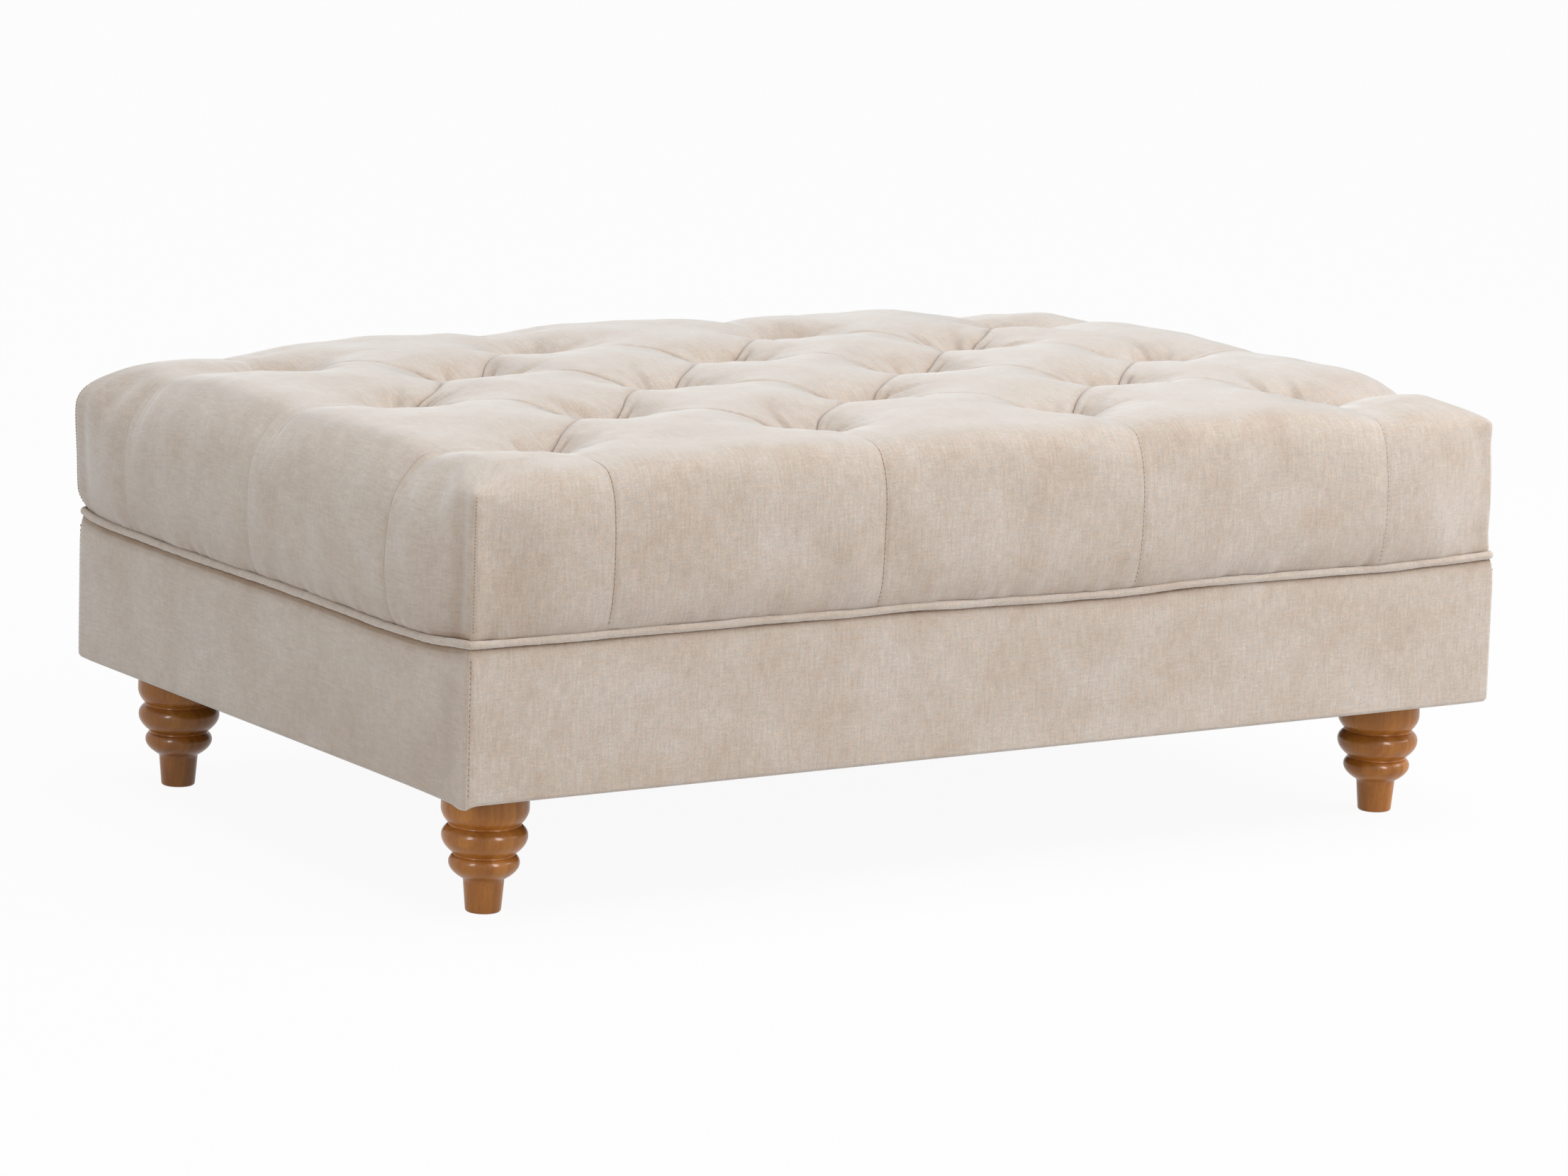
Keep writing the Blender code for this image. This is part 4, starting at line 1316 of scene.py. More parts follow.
    def profile(self, rim: Array, seam: Array, bulge: Array, sharp: Array, side: Side) -> Array:
        """Control points, as inset and height, of the curve from the top's rim to the seam.

        Args:
            rim: the height of the top's rim at each grid line.
            seam: the height of the seam there.
            bulge: how much the border bulges there, 0 to 1.
            sharp: how sharply the corner that it nears comes to a point, 0 to 1.
            side: the side.

        Returns:
            An array of grid lines, points, and inset and height.
        """
        swell, corner = self.panel_bulge * bulge, 1 - bulge
        soft = smooth(0.1, 0.8, bulge) * self.edge_soft[side.number]
        point, round_off = corner * sharp, corner * (1 - sharp)
        insets = [
            self.top_inset,
            0.032 - 0.018 * point,
            0.0095 - 0.0055 * point + 0.0055 * soft,
            0.0015 + 0.0007 * point + 0.0012 * soft,
            0.0012, 0.0015, 0.0022, 0.0028, 0.0046,
        ]
        shares = [0.0, 0.0, 0.3, 0.95, 1.15, 1.0, 0.55, 0.1, 0.0]
        heights = [
            rim,
            rim - 0.0006 - 0.0124 * point - 0.0040 * round_off - 0.0008 * soft,
            rim - 0.0010 - self.corner_drop * corner - 0.0035 * soft,
            rim - 0.026 + 0.003 * point - 0.010 * round_off - 0.006 * soft,
            (rim + seam) / 2,
            seam + 0.034, seam + 0.0134, seam + 0.0043, seam + 0.0018,
        ]
        rows = zip(insets, shares, heights)
        points = [join(inset - share * swell, height) for inset, share, height in rows]
        return np.stack(points, axis=1)

    def place(self, grid: BorderGrid, inset: Array) -> Array:
        """Sets the rings of one side in the frame, with the corner rounded.

        Args:
            grid: the border.
            inset: how far in each point lies from the base's outline.

        Returns:
            The points, as rings, grid lines, and x, y, z.
        """
        reach, outer = grid.half - inset, self.lattice.outer(grid.side.long)
        fixed, stretch = (lines[None, :-1] for lines in self.stations(grid.side.long))
        along = fixed + stretch * (reach - outer)
        radius = self.corner_radius * smooth(0.0, 0.10, grid.down) + 1e-6
        turn = np.clip(1 - (reach - np.abs(along)) / radius, 0, 1) * math.pi / 4
        bent = turn > 0
        rounded = np.sign(along) * (reach - radius + radius * np.sin(turn))
        along = np.where(bent, rounded, along)
        back = np.where(bent, radius * (1 - np.cos(turn)), 0.0)
        face = self.sizes.half_out(grid.side) - inset - back
        return join(*grid.side.plan(along, face), grid.z)

    def build(self, cloth: ClothRange) -> Piece:
        """Builds the closed cushion and dresses it.

        Args:
            cloth: the upholstery cloth.

        Returns:
            The cushion.
        """
        (fixed_x, stretch_x), (fixed_y, stretch_y) = self.stations(True), self.stations(False)
        gx, gy = fixed_x + stretch_x * self.margin(True), fixed_y + stretch_y * self.margin(False)
        nx, ny = len(gx) - 1, len(gy) - 1
        self.plan = np.meshgrid(gx, gy, indexing="ij")
        self.top = self.shape_top()
        height = self.top[..., 2]
        edge = [height[:-1, 0], height[-1, :-1], height[:0:-1, -1], height[0, :0:-1]]
        self.rings, lengths = self.build_rings(edge)
        index = np.arange((nx + 1) * (ny + 1)).reshape(nx + 1, ny + 1)
        rim = np.concatenate([index[:-1, 0], index[-1, :-1], index[:0:-1, -1], index[0, :0:-1]])
        count, columns = index.size, len(rim)
        lower = self.rings[1:]
        tail = lower[-1].mean(axis=0)[None, :]
        points = np.concatenate([self.top.reshape(-1, 3), lower.reshape(-1, 3), tail])
        cell_x = (np.arange(nx) - self.edge_steps_x) // self.steps
        cell_y = (np.arange(ny) - self.edge_steps_y) // self.steps
        rises = ((cell_x[:, None] + cell_y[None, :]) % 2 == 0).ravel()
        quads = grid_faces(nx + 1, ny + 1)[:, [0, 3, 2, 1]]
        up, down = quads[rises], quads[~rises]
        halves = [up[:, [0, 1, 2]], up[:, [0, 2, 3]], down[:, [0, 1, 3]], down[:, [1, 2, 3]]]
        triangles = np.concatenate(halves)
        below = np.arange(len(lower) * columns).reshape(len(lower), columns) + count
        ladder = np.concatenate([rim[None, :], below])
        after = np.roll(ladder, -1, axis=1)
        walls = np.stack([ladder[:-1], ladder[1:], after[1:], after[:-1]], axis=-1).reshape(-1, 4)
        last = ladder[-1]
        base = np.stack([np.full(columns, len(points) - 1), np.roll(last, -1), last], axis=-1)
        plan = join(*self.plan).reshape(-1, 2)
        hidden = np.zeros((base.size, 2))
        weave = np.concatenate([plan[triangles.ravel()], self.border_weave(lengths), hidden])
        # Painted shade of each point: the top's, the borders', and none for the closing point.
        fold = np.concatenate([self.top_painted_shade.ravel(), self.ring_painted_shade[1:].ravel(), [0.0]])
        piece = add_piece("seat_cushion", points, [triangles, walls, base], weave, fold)
        cloth.dress(piece)
        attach(piece, BODY)
        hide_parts("seat_cover", "fibre_wrap", "foam_block")
        return piece

    def border_weave(self, lengths: Array) -> Array:
        """Cloth coordinates for the corners of the border's quads, cut in one with the top.

        Args:
            lengths: the cloth's length from the rim to each ring.

        Returns:
            One row a face corner.
        """
        sides = []
        for side in Side:
            along = self.side_places(side)
            out = self.sizes.half_out(side) - self.top_inset + lengths
            grid = join(*side.plan(*np.broadcast_arrays(along[None, :], out[:, None])))
            corners = [grid[:-1, :-1], grid[1:, :-1], grid[1:, 1:], grid[:-1, 1:]]
            sides.append(np.stack(corners, axis=2))
        return np.concatenate(sides, axis=1).reshape(-1, 2)

    def build_stitches(self, thread: Material) -> Piece:
        """Sews the pleats and the corner seams down the borders.

        Args:
            thread: the sewing thread.

        Returns:
            All the stitches as one piece.
        """
        runs = []
        for side, number, line in self.seams():
            if number and not side.long:
                continue
            pitch = self.pleat_pitch if number else self.corner_pitch
            middle, way = stitch_run(line[8 if number else 4:], pitch)
            up = unit(np.cross(way, side.way))
            pull = self.front_pull[number - 1] if number and side is Side.FRONT else 1.0
            rise = self.stitch_rise - self.stitch_sink * (1 - pull)
            runs.append((middle + up * rise, way, up))
        piece = sew("seat_stitches", thread, runs, self.stitch)
        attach(piece, BODY)
        return piece

    def seams(self) -> list[tuple[Side, int, Array]]:
        """The lines of the corner seams and the pleats, from the top's edge down to the piping.

        Returns:
            For each line its side, its number there (0 for the corner seam) and its points.
        """
        lines, first = [], 0
        for side in Side:
            along = self.side_places(side)[:-1]
            here = self.rings[:, first:first + len(along)]
            marks = [-self.sizes.half_run(side) + self.corner_seam, *self.pleat_marks(side)]
            for number, mark in enumerate(marks):
                rows = here[(2 if number else 8):-2]
                line = [[np.interp(mark, along, row[:, k]) for k in range(3)] for row in rows]
                lines.append((side, number, np.array(line)))
            first += len(along)
        return lines

    def build_lips(self, cloth: ClothRange) -> Piece:
        """Folds the edges of the pleats and the corner seams over.

        Args:
            cloth: the upholstery cloth.

        Returns:
            All the edges as one piece.
        """
        points, quads, weave, fold, count = [], [], [], [], 0
        for side, number, line in self.seams():
            places = seam_lip(line, side.way, *self.lip_size)
            travel = np.linspace(0.0, 0.15, len(line))
            points.append(places.reshape(-1, 3))
            quads.extend(face + count for face in tube_faces(len(line), 4))
            weave.append(join(travel[:, None], 7.0 + np.arange(4) * 0.0004))
            # Painted shade on each folded edge.
            fold.append(np.full(4 * len(line), self.lip_painted_shade[side.number][number]))
            count += 4 * len(line)
        places, faces, flat, deep = (np.concatenate(rows) for rows in (points, quads, weave, fold))
        piece = add_piece("seat_seam_lips", places, [faces], flat, deep)
        cloth.dress(piece)
        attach(piece, BODY)
        return piece


@dataclass
class CoveredButtons:
    """Cloth-covered buttons drawn down into the tufts."""

    lattice: TuftLattice
    radius: float = 0.011
    rise: float = 0.0062
    face_height: float = 0.0079
    gather: float = 0.014
    gathers: int = 18
    turns: int = 48
    rows: int = 16
    weave_stretch: float = 1.2
    weave_shift: float = 0.05
    turn_step: float = 0.7

    def shape(self) -> tuple[Array, list[Array], Array]:
        """One button with a domed face, a gathered rim and a short shank.

        Returns:
            Its points, its faces and its cloth coordinates.
        """
        turn = np.arange(self.turns) * 2 * math.pi / self.turns
        q = np.linspace(0.04, 1.0, self.rows)
        dome = self.radius * np.sin(q * math.pi / 2)
        lift = self.rise * np.cos(q * math.pi / 2) ** 0.8 + self.face_height
        radii = np.concatenate([dome, [0.0108, 0.0100, 0.0085, 0.0024, 0.0021]])
        heights = np.concatenate([lift, [0.0068, 0.0062, 0.0060, 0.0058, 0.0006]])
        tuck = np.concatenate([smooth(0.80, 1.0, q), [1.0, 1.0, 0.6, 0.0, 0.0]])
        gathers = np.sin(turn * self.gathers)[None, :]
        ring = radii[:, None] * (1 + self.gather * tuck[:, None] * gathers)
        points = join(ring * np.cos(turn), ring * np.sin(turn), heights[:, None]).reshape(-1, 3)
        faces = [face[:, ::-1] for face in tube_faces(len(radii), self.turns)]
        return points, faces, points[:, :2] * self.weave_stretch

    def build(self, cloth: ClothRange) -> list[Piece]:
        """Sets one button in each tuft.

        Args:
            cloth: the upholstery cloth.

        Returns:
            The buttons.
        """
        points, faces, weave = self.shape()
        made = []
        for number, (name, tuft) in enumerate(zip(self.lattice.names, self.lattice.tufts)):
            turn = Matrix.Rotation(number * self.turn_step, 3, "Z")
            placed = points @ np.array(turn).T + tuft
            own = weave + self.weave_shift * number
            piece = add_piece(name.replace("tuft", "covered"), placed, faces, own)
            cloth.dress(piece)
            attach(piece, BODY)
            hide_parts(name)
            made.append(piece)
        return made


@dataclass
class PipingRuns:
    """Cloth-covered cord sewn in the seam between the seat and the base, one run a side."""

    sizes: BenchSizes
    seam: SeamLine
    radius: float = 0.0036
    inset: float = 0.0030
    corner: float = 0.0055
    spacing: float = 0.003
    turns: int = 22
    sway: float = 0.0003
    uneven: float = 0.05
    crinkle: float = 0.00016

    def line(self, side: Side) -> tuple[Array, Array]:
        """The middle of a run, bent half way round the corner at both ends.

        Args:
            side: the side that it runs along.

        Returns:
            The points and the way that each one faces.
        """
        half = self.sizes.half_run(side) - self.inset - self.corner
        out = self.sizes.half_out(side) - self.inset - self.corner
        angles = np.radians(np.linspace(45, 0, 6))
        straight = np.linspace(-half, half, round(2 * half / self.spacing))
        turn = np.concatenate([-angles[:-1], np.zeros(len(straight)), angles[-2::-1]])
        start, end = self.corner * np.sin(angles[:-1]), self.corner * np.sin(angles[-2::-1])
        along = np.concatenate([-half - start, straight, half + end])
        face = out + self.corner * np.cos(turn)
        calm = smooth(0.0, 0.04, half - np.abs(along))
        z = self.sizes.seam_height - self.seam.dip(side, along, self.sizes.half_run(side))
        z = z + self.sway * Ripple(40 + len(side.label), 0.06, 0.20)(along, face) * calm
        return join(*side.plan(along, face), z), join(*side.plan(np.sin(turn), np.cos(turn)), 0.0)

    def build(self, cloth: ClothRange) -> list[Piece]:
        """Covers and sets the four runs.

        Args:
            cloth: the upholstery cloth.

        Returns:
            The runs.
        """
        made = []
        turn = np.arange(self.turns) * 2 * math.pi / self.turns
        for number, side in enumerate(Side):
            line, face = self.line(side)
            travel = travelled(line)
            round_way = turn[None, :] * self.radius
            crinkle = Ripple(50 + number, 0.004, 0.018)(travel[:, None], round_way)
            uneven = Ripple(60 + number, 0.05, 0.2)(travel, travel * 0)
            thick = self.radius * (1 + self.uneven * uneven)
            ring = thick[:, None] + self.crinkle * crinkle
            points = line[:, None, :] + ring[..., None] * (
                face[:, None, :] * np.cos(turn)[None, :, None] + UP * np.sin(turn)[None, :, None]
            )
            weave = join(travel[:, None] + 3.0 * number, 5.0 + round_way)
            # Painted shade: darker on the half of the cord that faces into the seam, a little on
            # its top and underside.
            held = 0.45 * smooth(0.35, -0.25, np.cos(turn)) + 0.10 * smooth(0.8, 0.3, np.cos(turn))
            fold = np.broadcast_to(held, (len(line), self.turns))
            faces = tube_faces(len(line), self.turns)
            piece = add_piece(f"covered_piping_{side.label}", points, faces, weave, fold)
            cloth.dress(piece)
            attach(piece, BODY)
            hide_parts(f"piping_{side.label}")
            made.append(piece)
        return made


@dataclass(frozen=True)
class PanelGrid:
    """One base panel as rows of points from the seam down, with a grid line a column.

    Distances to the nearer end and to the seam are corner and below, and down is a share.
    """

    side: Side
    along: Array
    corner: Array
    below: Array
    down: Array
    z: Array


@dataclass
class BaseCover:
    """Cloth drawn over the base, one panel a side, sewn at the corners and turned under."""

    sizes: BenchSizes
    seam: SeamLine
    cloth_thickness: float = 0.0013
    corner: float = 0.005
    edge: float = 0.004
    round_corner: float = 0.0055
    turned_under: float = 0.028
    spacing: float = 0.006
    end_run: float = 0.05
    wave: float = 0.0006
    pucker: float = 0.0005
    droop: float = 0.0030
    seam_groove: tuple = (0.0009, 0.0013)
    seam_place: float = 0.0030
    stitch_pitch: float = 0.0046
    stitch_sink: float = 0.0007
    stitch: tuple = (0.0021, 0.00042, 0.0004)

    def profile(self) -> Array:
        """The panel's curve from the seam down and under.

        Returns:
            Inset and height of each row.
        """
        seam, under = self.sizes.seam_height, self.sizes.underside
        top = [
            (0.0100, seam - 0.0006), (0.0076, seam - 0.0014), (0.0058, seam - 0.0024),
            (0.0043, seam - 0.0037), (0.0030, seam - 0.0055), (0.0018, seam - 0.0092),
            (0.0007, seam - 0.0165),
        ]
        face = [(0.0, z) for z in np.linspace(seam - 0.027, under + self.edge, 22)]
        bend = [
            (self.edge * (1 - math.cos(a)), under + self.edge * (1 - math.sin(a)))
            for a in np.linspace(0, math.pi / 2, 8)[1:]
        ]
        turn = [(i, under) for i in np.linspace(self.edge, self.turned_under, 6)[1:]]
        return np.array(top + face + bend + turn)

    def columns(self, half: float) -> Array:
        """Places along a panel, closer together towards its ends.

        Args:
            half: half the panel's length.

        Returns:
            One place a grid line.
        """
        bends = np.linspace(0, self.corner, 6)[:-1]
        near = np.linspace(self.corner, self.end_run, 16)[:-1]
        middle = np.linspace(self.end_run, half, round((half - self.end_run) / self.spacing))
        reach = half - np.concatenate([bends, near, middle])
        return np.concatenate([-reach, reach[-2::-1]])

    def relief(self, grid: PanelGrid) -> Array:
        """How far the cloth ripples, puckers under the seam and is drawn in at its corner seam.

        Args:
            grid: the panel.

        Returns:
            The depth at each point.
        """
        along, corner, down = grid.along, grid.corner, grid.down
        half = self.sizes.half_run(grid.side)
        seed = 70 + len(grid.side.label) + int(half * 10)
        calm = smooth(0.004, 0.05, corner) * smooth(0.05, 0.2, down) * (1 - smooth(0.93, 1.0, down))
        wave = self.wave * Ripple(seed, 0.07, 0.26)(along[None, :], grid.z) * calm
        pucker = Ripple(seed + 9, 0.012, 0.03)(along, along * 0)[None, :]
        near = fading(self.sizes.seam_height - 0.008 - grid.z, 0.010) * smooth(0.0, 0.03, corner)
        wave = wave + self.pucker * pucker * near
        to_seam = np.abs(along + half - self.seam_place)[None, :]
        depth, width = self.seam_groove
        return wave + depth * bell(to_seam, width) * smooth(0.03, 0.08, down)

    def hang(self, grid: PanelGrid, inset: Array) -> tuple[Array, Array]:
        """Rounds the hem's corners, and lets the bunched cloth of the near corner droop.

        Args:
            grid: the panel.
            inset: how far in each point lies from the base's outline.

        Returns:
            The new insets and heights.
        """
        side, along, corner, z = grid.side, grid.along, grid.corner, grid.z
        rise = np.clip((self.sizes.underside + self.round_corner - z) / self.round_corner, 0, 1)
        rounded = np.clip(self.round_corner * (1 - np.sqrt(1 - rise**2)) - inset, 0, None)
        bunched = (side is Side.FRONT) * (along < 0) + (side is Side.LEFT) * (along > 0)
        inset = inset + rounded * (1 - smooth(0.0, 0.03, corner)) * (1 - bunched)[None, :]
        if side.long:
            droop = self.droop * bell(corner, 0.0075)
        else:
            droop = self.droop * fading(corner, 0.05) + 0.0016 * bell(corner - 0.0135, 0.0075)
        return inset, z - droop * bunched[None, :] * smooth(0.85, 1.0, grid.down)

    def place(self, grid: PanelGrid, inset: Array) -> tuple[Array, Array]:
        """Turns a panel half way round the corner at both ends, and mitres it under the base.

        Args:
            grid: the panel.
            inset: how far in each point lies from the base's outline.

        Returns:
            x and y of each point.
        """
        half, out = self.sizes.half_run(grid.side), self.sizes.half_out(grid.side)
        apart = np.abs(grid.along)[None, :]
        flat = np.clip(apart, 0, half - self.corner)
        share = np.clip((apart - flat) / self.corner, 0, 1)
        turn = share * math.pi / 4
        run = flat + np.where(share > 0, (self.corner - inset) * np.sin(turn), 0.0)
        face = out - inset - (self.corner - inset) * (1 - np.cos(turn)) * (share > 0)
        deep = inset > self.corner
        run = np.where(deep, np.clip(apart, 0, half - inset), run)
        face = np.where(deep, out - inset, face)
        return grid.side.plan(np.sign(grid.along)[None, :] * run, face)

    def shade(self, grid: PanelGrid) -> Array:
        """The painted shade on a panel: darker under the piping, and on the left panel also in a
        band beside the near corner and low down near it.

        Args:
            grid: the panel.

        Returns:
            The painted shade at each point, 0 to 1.
        """
        below, corner, down = grid.below, grid.corner, grid.down
        if grid.side.long:
            return 0.45 * fading(below - 0.0035, 0.0014) + 0.34 * fading(below, 0.0075)
        fold = 0.46 * (1 - smooth(0.0055, 0.0145, below)) * (1 - 0.6 * fading(corner, 0.02))
        fold = fold + 0.10 * fading(below, 0.02)
        fold = np.maximum(fold, 0.65 * fading(below - 0.0035, 0.0012))
        if grid.side is Side.LEFT:
            band = 0.25 * bell(corner - 0.031, 0.017) * smooth(0.10, 0.30, down)
            foot = 0.20 * bell(corner, 0.28) * smooth(0.35, 0.85, down)
            foot = foot * smooth(0.012, 0.03, corner)
            fold = np.maximum(fold, np.maximum(band, foot) * (grid.along > 0)[None, :])
        return fold

    def panel(self, side: Side) -> tuple[Array, Array, Array, Array]:
        """One panel as two facing grids of points.

        Args:
            side: the side that it covers.

        Returns:
            The grid that shows, the grid behind it, the cloth coordinates and the painted shade.
        """
        half, seam, profile = self.sizes.half_run(side), self.sizes.seam_height, self.profile()
        steps = unit(np.vstack([np.diff(profile, axis=0), np.diff(profile[-2:], axis=0)]))
        inward = join(-steps[:, 1], steps[:, 0])
        along = self.columns(half)
        inset, z = np.broadcast_arrays(profile[:, :1], profile[:, 1:] + along[None, :] * 0)
        below = seam - z
        z = z - self.seam.dip(side, along, half)[None, :] * (1 - smooth(0.0, 0.05, below))
        down = np.clip((seam - z) / (seam - self.sizes.underside), 0, 1)
        grid = PanelGrid(side, along, half - np.abs(along)[None, :], below, down, z)
        wave = self.relief(grid)
        inset, z = self.hang(grid, inset)
        grids = []
        for layer in (0.0, self.cloth_thickness):
            x, y = self.place(grid, inset + wave + layer * inward[:, :1])
            grids.append(join(x, y, z + layer * inward[:, 1:]))
        out = self.sizes.half_out(side) + 3.0 + travelled(profile)[:, None]
        weave = join(*side.plan(*np.broadcast_arrays(along[None, :], out)))
        return grids[0], grids[1], weave, self.shade(grid)

    def build(self, cloth: ClothRange) -> list[Piece]:
        """Makes the four panels.

        Args:
            cloth: the upholstery cloth.

        Returns:
            The panels.
        """
        made = []
        fall = float(np.hypot(*np.diff(self.profile(), axis=0).T).sum())
        for side in Side:
            outer, inner, weave, fold = self.panel(side)
            points, quads = shell(outer, inner)
            flat, deep = np.concatenate([weave, weave]), np.concatenate([fold, fold])
            piece = add_piece(f"base_cover_{side.label}", points, [quads[:, ::-1]], flat, deep)
            cloth.dress(piece)
            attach(piece, BODY)
            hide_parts(f"base_panel_{side.label}")
            if side is Side.FRONT:
                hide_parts("wadding_band")
            2 * self.sizes.half_run(side)
            made.append(piece)
        return made

    def build_stitches(self, thread: Material) -> Piece:
        """Topstitches the corner seams of the base.

        Args:
            thread: the sewing thread.

        Returns:
            All the stitches as one piece.
        """
        runs = []
        heights = np.linspace(self.sizes.seam_height - 0.012, self.sizes.underside + 0.006, 60)
        turn = (1 - self.seam_place / self.corner) * math.pi / 4
        for side in Side:
            along = -(self.sizes.half_run(side) - self.corner + self.corner * math.sin(turn))
            face = self.sizes.half_out(side) - self.corner * (1 - math.cos(turn))
            line = join(*side.plan(along, face), heights)
            middle, way = stitch_run(line, self.stitch_pitch)
            up = np.array([*side.plan(-math.sin(turn), math.cos(turn)), 0.0])
            up = np.broadcast_to(up, middle.shape)
            runs.append((middle - up * self.stitch_sink, way, up))
        piece = sew("base_stitches", thread, runs, self.stitch)
        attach(piece, BODY)
        return piece


@dataclass
class TurnedFeet:
    """Four feet turned on a lathe: three stacked beads over a plain tapered ankle."""

    sole: float = 0.0135
    toe: tuple[float, float] = (0.0157, 0.0025)
    ankle: float = 0.018
    beads: tuple = (
        (0.0222, 0.0144, 0.0309, 0.0267),
        (0.0263, 0.0160, 0.0375, 0.0314),
        (0.0327, 0.0141, 0.0383, 0.0360),
    )
    cove: float = 0.0016
    facets: int = 96
    # Painted light and shade: the front-right foot's wood lighter where more light falls, the
    # back-left foot's darker in the bench's shade.
    painted_light_levels: dict = field(default_factory=lambda: {"foot_front_right": 1.14, "foot_back_left": 0.84})

    def profile(self, top: float) -> Array:
        """Radius and height of each ring from the sole up.

        Args:
            top: the height of the foot's top face.

        Returns:
            One row a ring.
        """
        waist = top - sum(bead[0] for bead in self.beads)
        rows = [(0.0004, 0.0), (self.sole * 0.6, 0.0), (self.sole, 0.0)]
        wide, high = self.toe
        quarter = np.linspace(0, math.pi / 2, 6)[1:]
        for a in quarter:
            rows.append((self.sole + (wide - self.sole) * math.sin(a), high * (1 - math.cos(a))))
        rows += zip(np.linspace(wide, self.ankle, 9)[1:], np.linspace(high, waist, 9)[1:])
        start, low = self.ankle, waist
        for height, belly, widest, end in self.beads:
            for q in np.linspace(1, 0, 12)[1:]:
                rows.append((widest - (widest - start) * q**2, low + belly * (1 - q)))
            rise, neck = height - belly - self.cove, end + 0.8 * self.cove
            for q in np.linspace(0, 1, 14)[1:]:
                rows.append((widest - (widest - neck) * q**2.3, low + belly + rise * q))
            for a in quarter:
                sunk, left = self.cove * math.sin(a), self.cove * math.cos(a)
                rows.append((neck - sunk, low + height - left))
            start, low = end - 0.2 * self.cove, low + height
        rows += [(start * 0.5, top), (0.0004, top)]
        return np.array(rows)

    def build(self, wood: TimberFinish) -> list[Piece]:
        """Turns the four feet, each with its own copy of the wood, lightened or darkened as painted
        light and shade.

        Args:
            wood: the lacquered wood.

        Returns:
            The feet.
        """
        made = []
        turn = np.arange(self.facets) * 2 * math.pi / self.facets
        for name in nodes_of("foot_"):
            low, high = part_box(name)
            profile = self.profile(high.z - low.z)
            x = profile[:, :1] * np.cos(turn) + (low.x + high.x) / 2
            y = profile[:, :1] * np.sin(turn) + (low.y + high.y) / 2
            points = join(x, y, profile[:, 1:] + low.z)
            piece = add_piece(f"turned_{name}", points, tube_faces(len(profile), self.facets))
            # Painted light level of this foot.
            tone = self.painted_light_levels.get(name, 1.0)
            shades = (wood.dark, wood.middle, wood.light)
            dark, middle, light = (tuple(c * tone for c in shade) for shade in shades)
            own = replace(wood, name=f"{wood.name}_{name}", dark=dark, middle=middle, light=light)
            piece.data.materials.append(own.make())
            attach(piece, BODY)
            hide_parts(name)
            made.append(piece)
        return made


@dataclass
class Lining:
    """The dust cover stapled under the base."""

    thickness: float = 0.0007
    sag: float = 0.0012
    hem: float = 0.0003
    lift: float = 0.0002
    cells: tuple[int, int] = (120, 80)
    staple: tuple = (0.010, 0.00045, 0.0012)
    staple_pitch: float = 0.055
    staple_ends: float = 0.03
    staple_inset: float = 0.006

    def build(self, cloth: Material, steel: Material) -> list[Piece]:
        """Makes the cover and its staples.

        Args:
            cloth: the spun lining cloth.
            steel: the staples' steel.

        Returns:
            The cover and the staples.
        """
        low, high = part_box("dust_cover")
        across, back = self.cells
        x, y = np.meshgrid(
            np.linspace(low.x, high.x, across), np.linspace(low.y, high.y, back), indexing="ij"
        )
        rim = np.minimum(np.minimum(x - low.x, high.x - x), np.minimum(y - low.y, high.y - y))
        slack = self.sag * smooth(0.10, 0.30, rim) * (1 + 0.3 * Ripple(81, 0.1, 0.3)(x, y))
        hem = self.hem * (1 - smooth(0.012, 0.014, rim))
        bottom = low.z + self.lift - slack - hem
        points, quads = shell(join(x, y, bottom), join(x, y, bottom + self.thickness + hem))
        cover = add_piece("lining", points, [quads])
        cover.data.materials.append(cloth)
        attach(cover, BODY)
        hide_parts("dust_cover")
        staples = self.staples(low, high, steel)
        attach(staples, BODY)
        return [cover, staples]

    def staples(self, low: Vector, high: Vector, steel: Material) -> Piece:
        """Staples round the hem.

        Args:
            low: the cover's lowest corner.
            high: its highest corner.
            steel: the staples' steel.

        Returns:
            All the staples as one piece.
        """
        runs, ends = [], self.staple_ends
        for axis, length in ((0, high.x - low.x), (1, high.y - low.y)):
            count = round((length - 2 * ends) / self.staple_pitch) + 1
            marks = np.linspace(ends, length - ends, count)
            other = 1 - axis
            for place in (low[other] + self.staple_inset, high[other] - self.staple_inset):
                spot = np.full((len(marks), 3), low.z - 0.0003)
                spot[:, axis], spot[:, other] = low[axis] + marks, place
                way, down = np.zeros_like(spot), np.zeros_like(spot)
                way[:, axis], down[:, 2] = 1.0, -1.0
                runs.append((spot, way, down))
        return sew("lining_staples", steel, runs, self.staple)


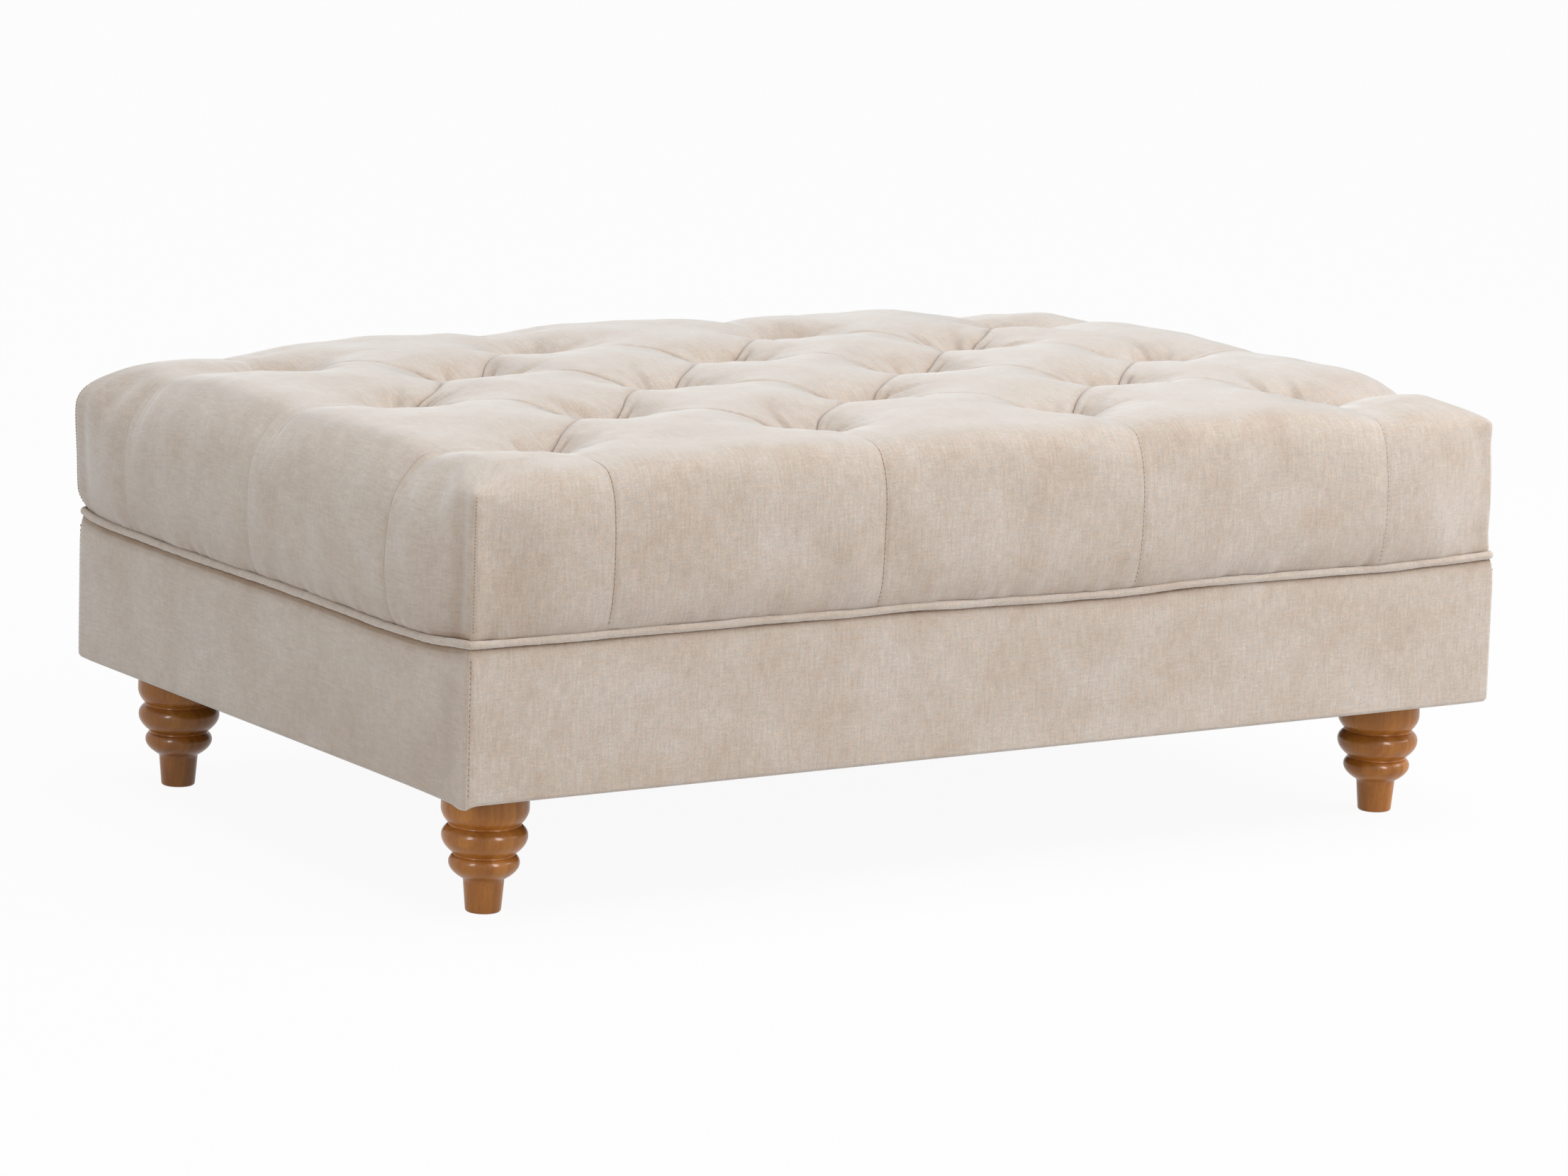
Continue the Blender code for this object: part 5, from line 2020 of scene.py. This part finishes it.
@dataclass
class InnerFrame:
    """The rails, blocks, deck and fasteners that stay as the CAD has them, each with its finish."""

    pine: tuple = ((0.46, 0.29, 0.14), (0.58, 0.40, 0.21), (0.68, 0.50, 0.29))
    spruce: tuple = ((0.50, 0.33, 0.17), (0.62, 0.45, 0.26), (0.70, 0.54, 0.34))
    birch: tuple = ((0.52, 0.36, 0.20), (0.64, 0.48, 0.30), (0.72, 0.58, 0.40))
    twine: tuple = ((0.40, 0.34, 0.26), (0.66, 0.59, 0.48))

    def finishes(self) -> dict:
        """The finish of each group of nodes, by the starts of their names.

        Returns:
            The finishes.
        """
        along_x, along_y = (0.06, 1.0, 1.0), (1.0, 0.06, 1.0)
        side_rails = ("rail_left", "rail_right", "corner_block")
        return {
            side_rails: TimberFinish("pine_along_y", *self.pine, along_y, 90.0),
            ("rail_front", "rail_back"): TimberFinish("pine_along_x", *self.pine, along_x, 90.0),
            ("cross_rail",): TimberFinish("spruce_along_y", *self.spruce, along_y, 80.0),
            ("deck_board",): TimberFinish("birch_ply", *self.birch, (0.05, 1.0, 1.0), 60.0),
            ("tuft_twine",): FeltFinish("waxed_twine", *self.twine, 1600.0, (1.0, 1.0, 0.3)),
            ("bolt", "tee_nut"): SteelFinish(),
        }

    def dress(self) -> int:
        """Gives every shown CAD node its finish.

        Returns:
            How many nodes there are.
        """
        count = 0
        for starts, finish in self.finishes().items():
            material = finish.make()
            for name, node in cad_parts.items():
                if name.startswith(starts) and not node.hide_render:
                    node.data.materials.clear()
                    node.data.materials.append(material)
                    count += 1
        return count


@dataclass(frozen=True)
class AreaLamp:
    """A soft lamp that faces the bench."""

    name: str
    place: tuple
    size: tuple
    power: float
    colour: tuple = (1.0, 1.0, 1.0)


@dataclass
class Studio:
    """A pale floor, soft light and the camera at the photograph's view."""

    image_width: int = 2212
    focal_pixels: float = 9296.5
    place: tuple = (-3.2926, -5.0489, 1.3072)
    yaw: float = 0.577685
    pitch: float = 0.181884
    roll: float = 0.031680
    surround: float = 0.385
    overhead: float = 1.60
    sun_spread: float = 60.0
    sun_aim: tuple = (-0.10, 0.12, -1.0)
    sun_colour: tuple = (0.975, 1.012, 1.04)
    lit_spot: tuple = (0.0, 0.0, 0.2)
    floor_reach: float = 30.0
    sensor: float = 36.0
    softboxes: tuple = (
        AreaLamp("side_softbox", (2.4, -1.6, 1.8), (1.3, 1.3), 43.0),
        AreaLamp("front_softbox", (0.0, -3.25, 1.22), (0.40, 0.55), 8.0),
        AreaLamp("left_softbox", (-3.3, -1.29, 1.22), (0.36, 0.50), 11.5, (1.05, 1.0, 0.87)),
    )
    cards: tuple = (
        AreaLamp("front_card", (0.10, -3.05, 1.75), (0.85, 1.90), 90.0),
        AreaLamp("left_card", (-3.10, -1.10, 1.75), (0.75, 1.60), 56.0),
    )

    def set_camera(self) -> None:
        """Makes the camera and gives it to the scene."""
        turn_x, turn_y, flat = math.sin(self.yaw), math.cos(self.yaw), math.cos(self.pitch)
        ahead = Vector((turn_x * flat, turn_y * flat, -math.sin(self.pitch)))
        level = Vector((turn_y, -turn_x, 0.0))
        up = level.cross(ahead)
        right = level * math.cos(self.roll) + up * math.sin(self.roll)
        top = -level * math.sin(self.roll) + up * math.cos(self.roll)
        data = bpy.data.cameras.new("camera")
        data.sensor_fit = "HORIZONTAL"
        data.sensor_width = self.sensor
        data.lens = self.focal_pixels * self.sensor / self.image_width
        data.clip_start, data.clip_end = 0.05, 200.0
        camera = bpy.data.objects.new("camera", data)
        turn = Matrix((right, top, -ahead)).transposed().to_4x4()
        camera.matrix_world = Matrix.Translation(self.place) @ turn
        bpy.context.scene.collection.objects.link(camera)
        bpy.context.scene.camera = camera

    def set_floor(self) -> None:
        """Lays the floor under the feet."""
        spots = self.floor_reach * np.array([(-1, -1, 0), (1, -1, 0), (1, 1, 0), (-1, 1, 0)])
        floor = add_piece("studio_floor", spots, [np.array([[0, 1, 2, 3]])])
        floor.data.materials.append(FloorFinish().make())

    def hang(self, lamp: bpy.types.Light, aim: Vector) -> Piece:
        """Hangs a lamp so that its light travels one way.

        Args:
            lamp: the lamp.
            aim: the way that its light travels.

        Returns:
            The object that holds it.
        """
        holder = bpy.data.objects.new(lamp.name, lamp)
        holder.rotation_mode = "QUATERNION"
        holder.rotation_quaternion = aim.to_track_quat("-Z", "Y")
        bpy.context.scene.collection.objects.link(holder)
        return holder

    def set_light(self) -> None:
        """Lights the bench from the right and above, with a soft surround."""
        sun = bpy.data.lights.new("overhead", "SUN")
        sun.energy, sun.color = self.overhead, self.sun_colour
        sun.angle = math.radians(self.sun_spread)
        self.hang(sun, Vector(self.sun_aim))
        for kind in self.softboxes + self.cards:
            lamp = bpy.data.lights.new(kind.name, "AREA")
            lamp.shape, lamp.energy, lamp.color = "RECTANGLE", kind.power, kind.colour
            lamp.size, lamp.size_y = kind.size
            holder = self.hang(lamp, Vector(self.lit_spot) - Vector(kind.place))
            holder.location = kind.place
            holder.visible_diffuse = kind.name.endswith("softbox")
            holder.visible_glossy = kind.name.endswith(("side_softbox", "card"))
        tree = NodeTree(bpy.data.worlds.new("surround"))
        soft = tree.add("Background", {"Color": WHITE, "Strength": self.surround})
        seen = tree.add("Background", {"Color": WHITE, "Strength": 1.0})
        bpy.context.scene.world = tree.backdrop(soft, seen, 1.0)
        bpy.context.scene.view_settings.view_transform = "Standard"


def report(*pieces: Piece) -> None:
    """Logs the name of each piece."""
    for piece in pieces:
        LOG.info("%s", piece.name)


def main() -> None:
    """Builds and dresses every sub-assembly in order."""
    logging.basicConfig(level=logging.INFO, format="%(name)s: %(message)s")
    sizes, lattice, seam = BenchSizes.from_frame(), TuftLattice.from_frame(), SeamLine()
    cloth, thread = ClothRange(), ThreadFinish().make()
    studio = Studio()
    studio.set_camera()
    seat = SeatCushion(sizes, lattice, seam)
    report(seat.build(cloth), seat.build_stitches(thread), seat.build_lips(cloth))
    report(*CoveredButtons(lattice).build(cloth))
    report(*PipingRuns(sizes, seam).build(cloth))
    base = BaseCover(sizes, seam)
    report(*base.build(cloth), base.build_stitches(thread))
    beech = TimberFinish(
        "lacquered_beech",
        dark=(0.290, 0.096, 0.012),
        middle=(0.410, 0.147, 0.021),
        light=(0.530, 0.208, 0.036),
        grain=(1.0, 1.0, 0.07),
        scale=110.0,
        flecks=0.40,
        roughness=0.44,
        lacquer=0.42,
        layers=0.0042,
    )
    report(*TurnedFeet().build(beech))
    spun = FeltFinish("spun_lining", (0.018, 0.018, 0.019), (0.045, 0.045, 0.046), 700.0)
    report(*Lining().build(spun.make(), SteelFinish("staple_steel").make()))
    LOG.info("%d CAD nodes dressed", InnerFrame().dress())
    studio.set_floor()
    studio.set_light()


if __name__ == "__main__":
    main()
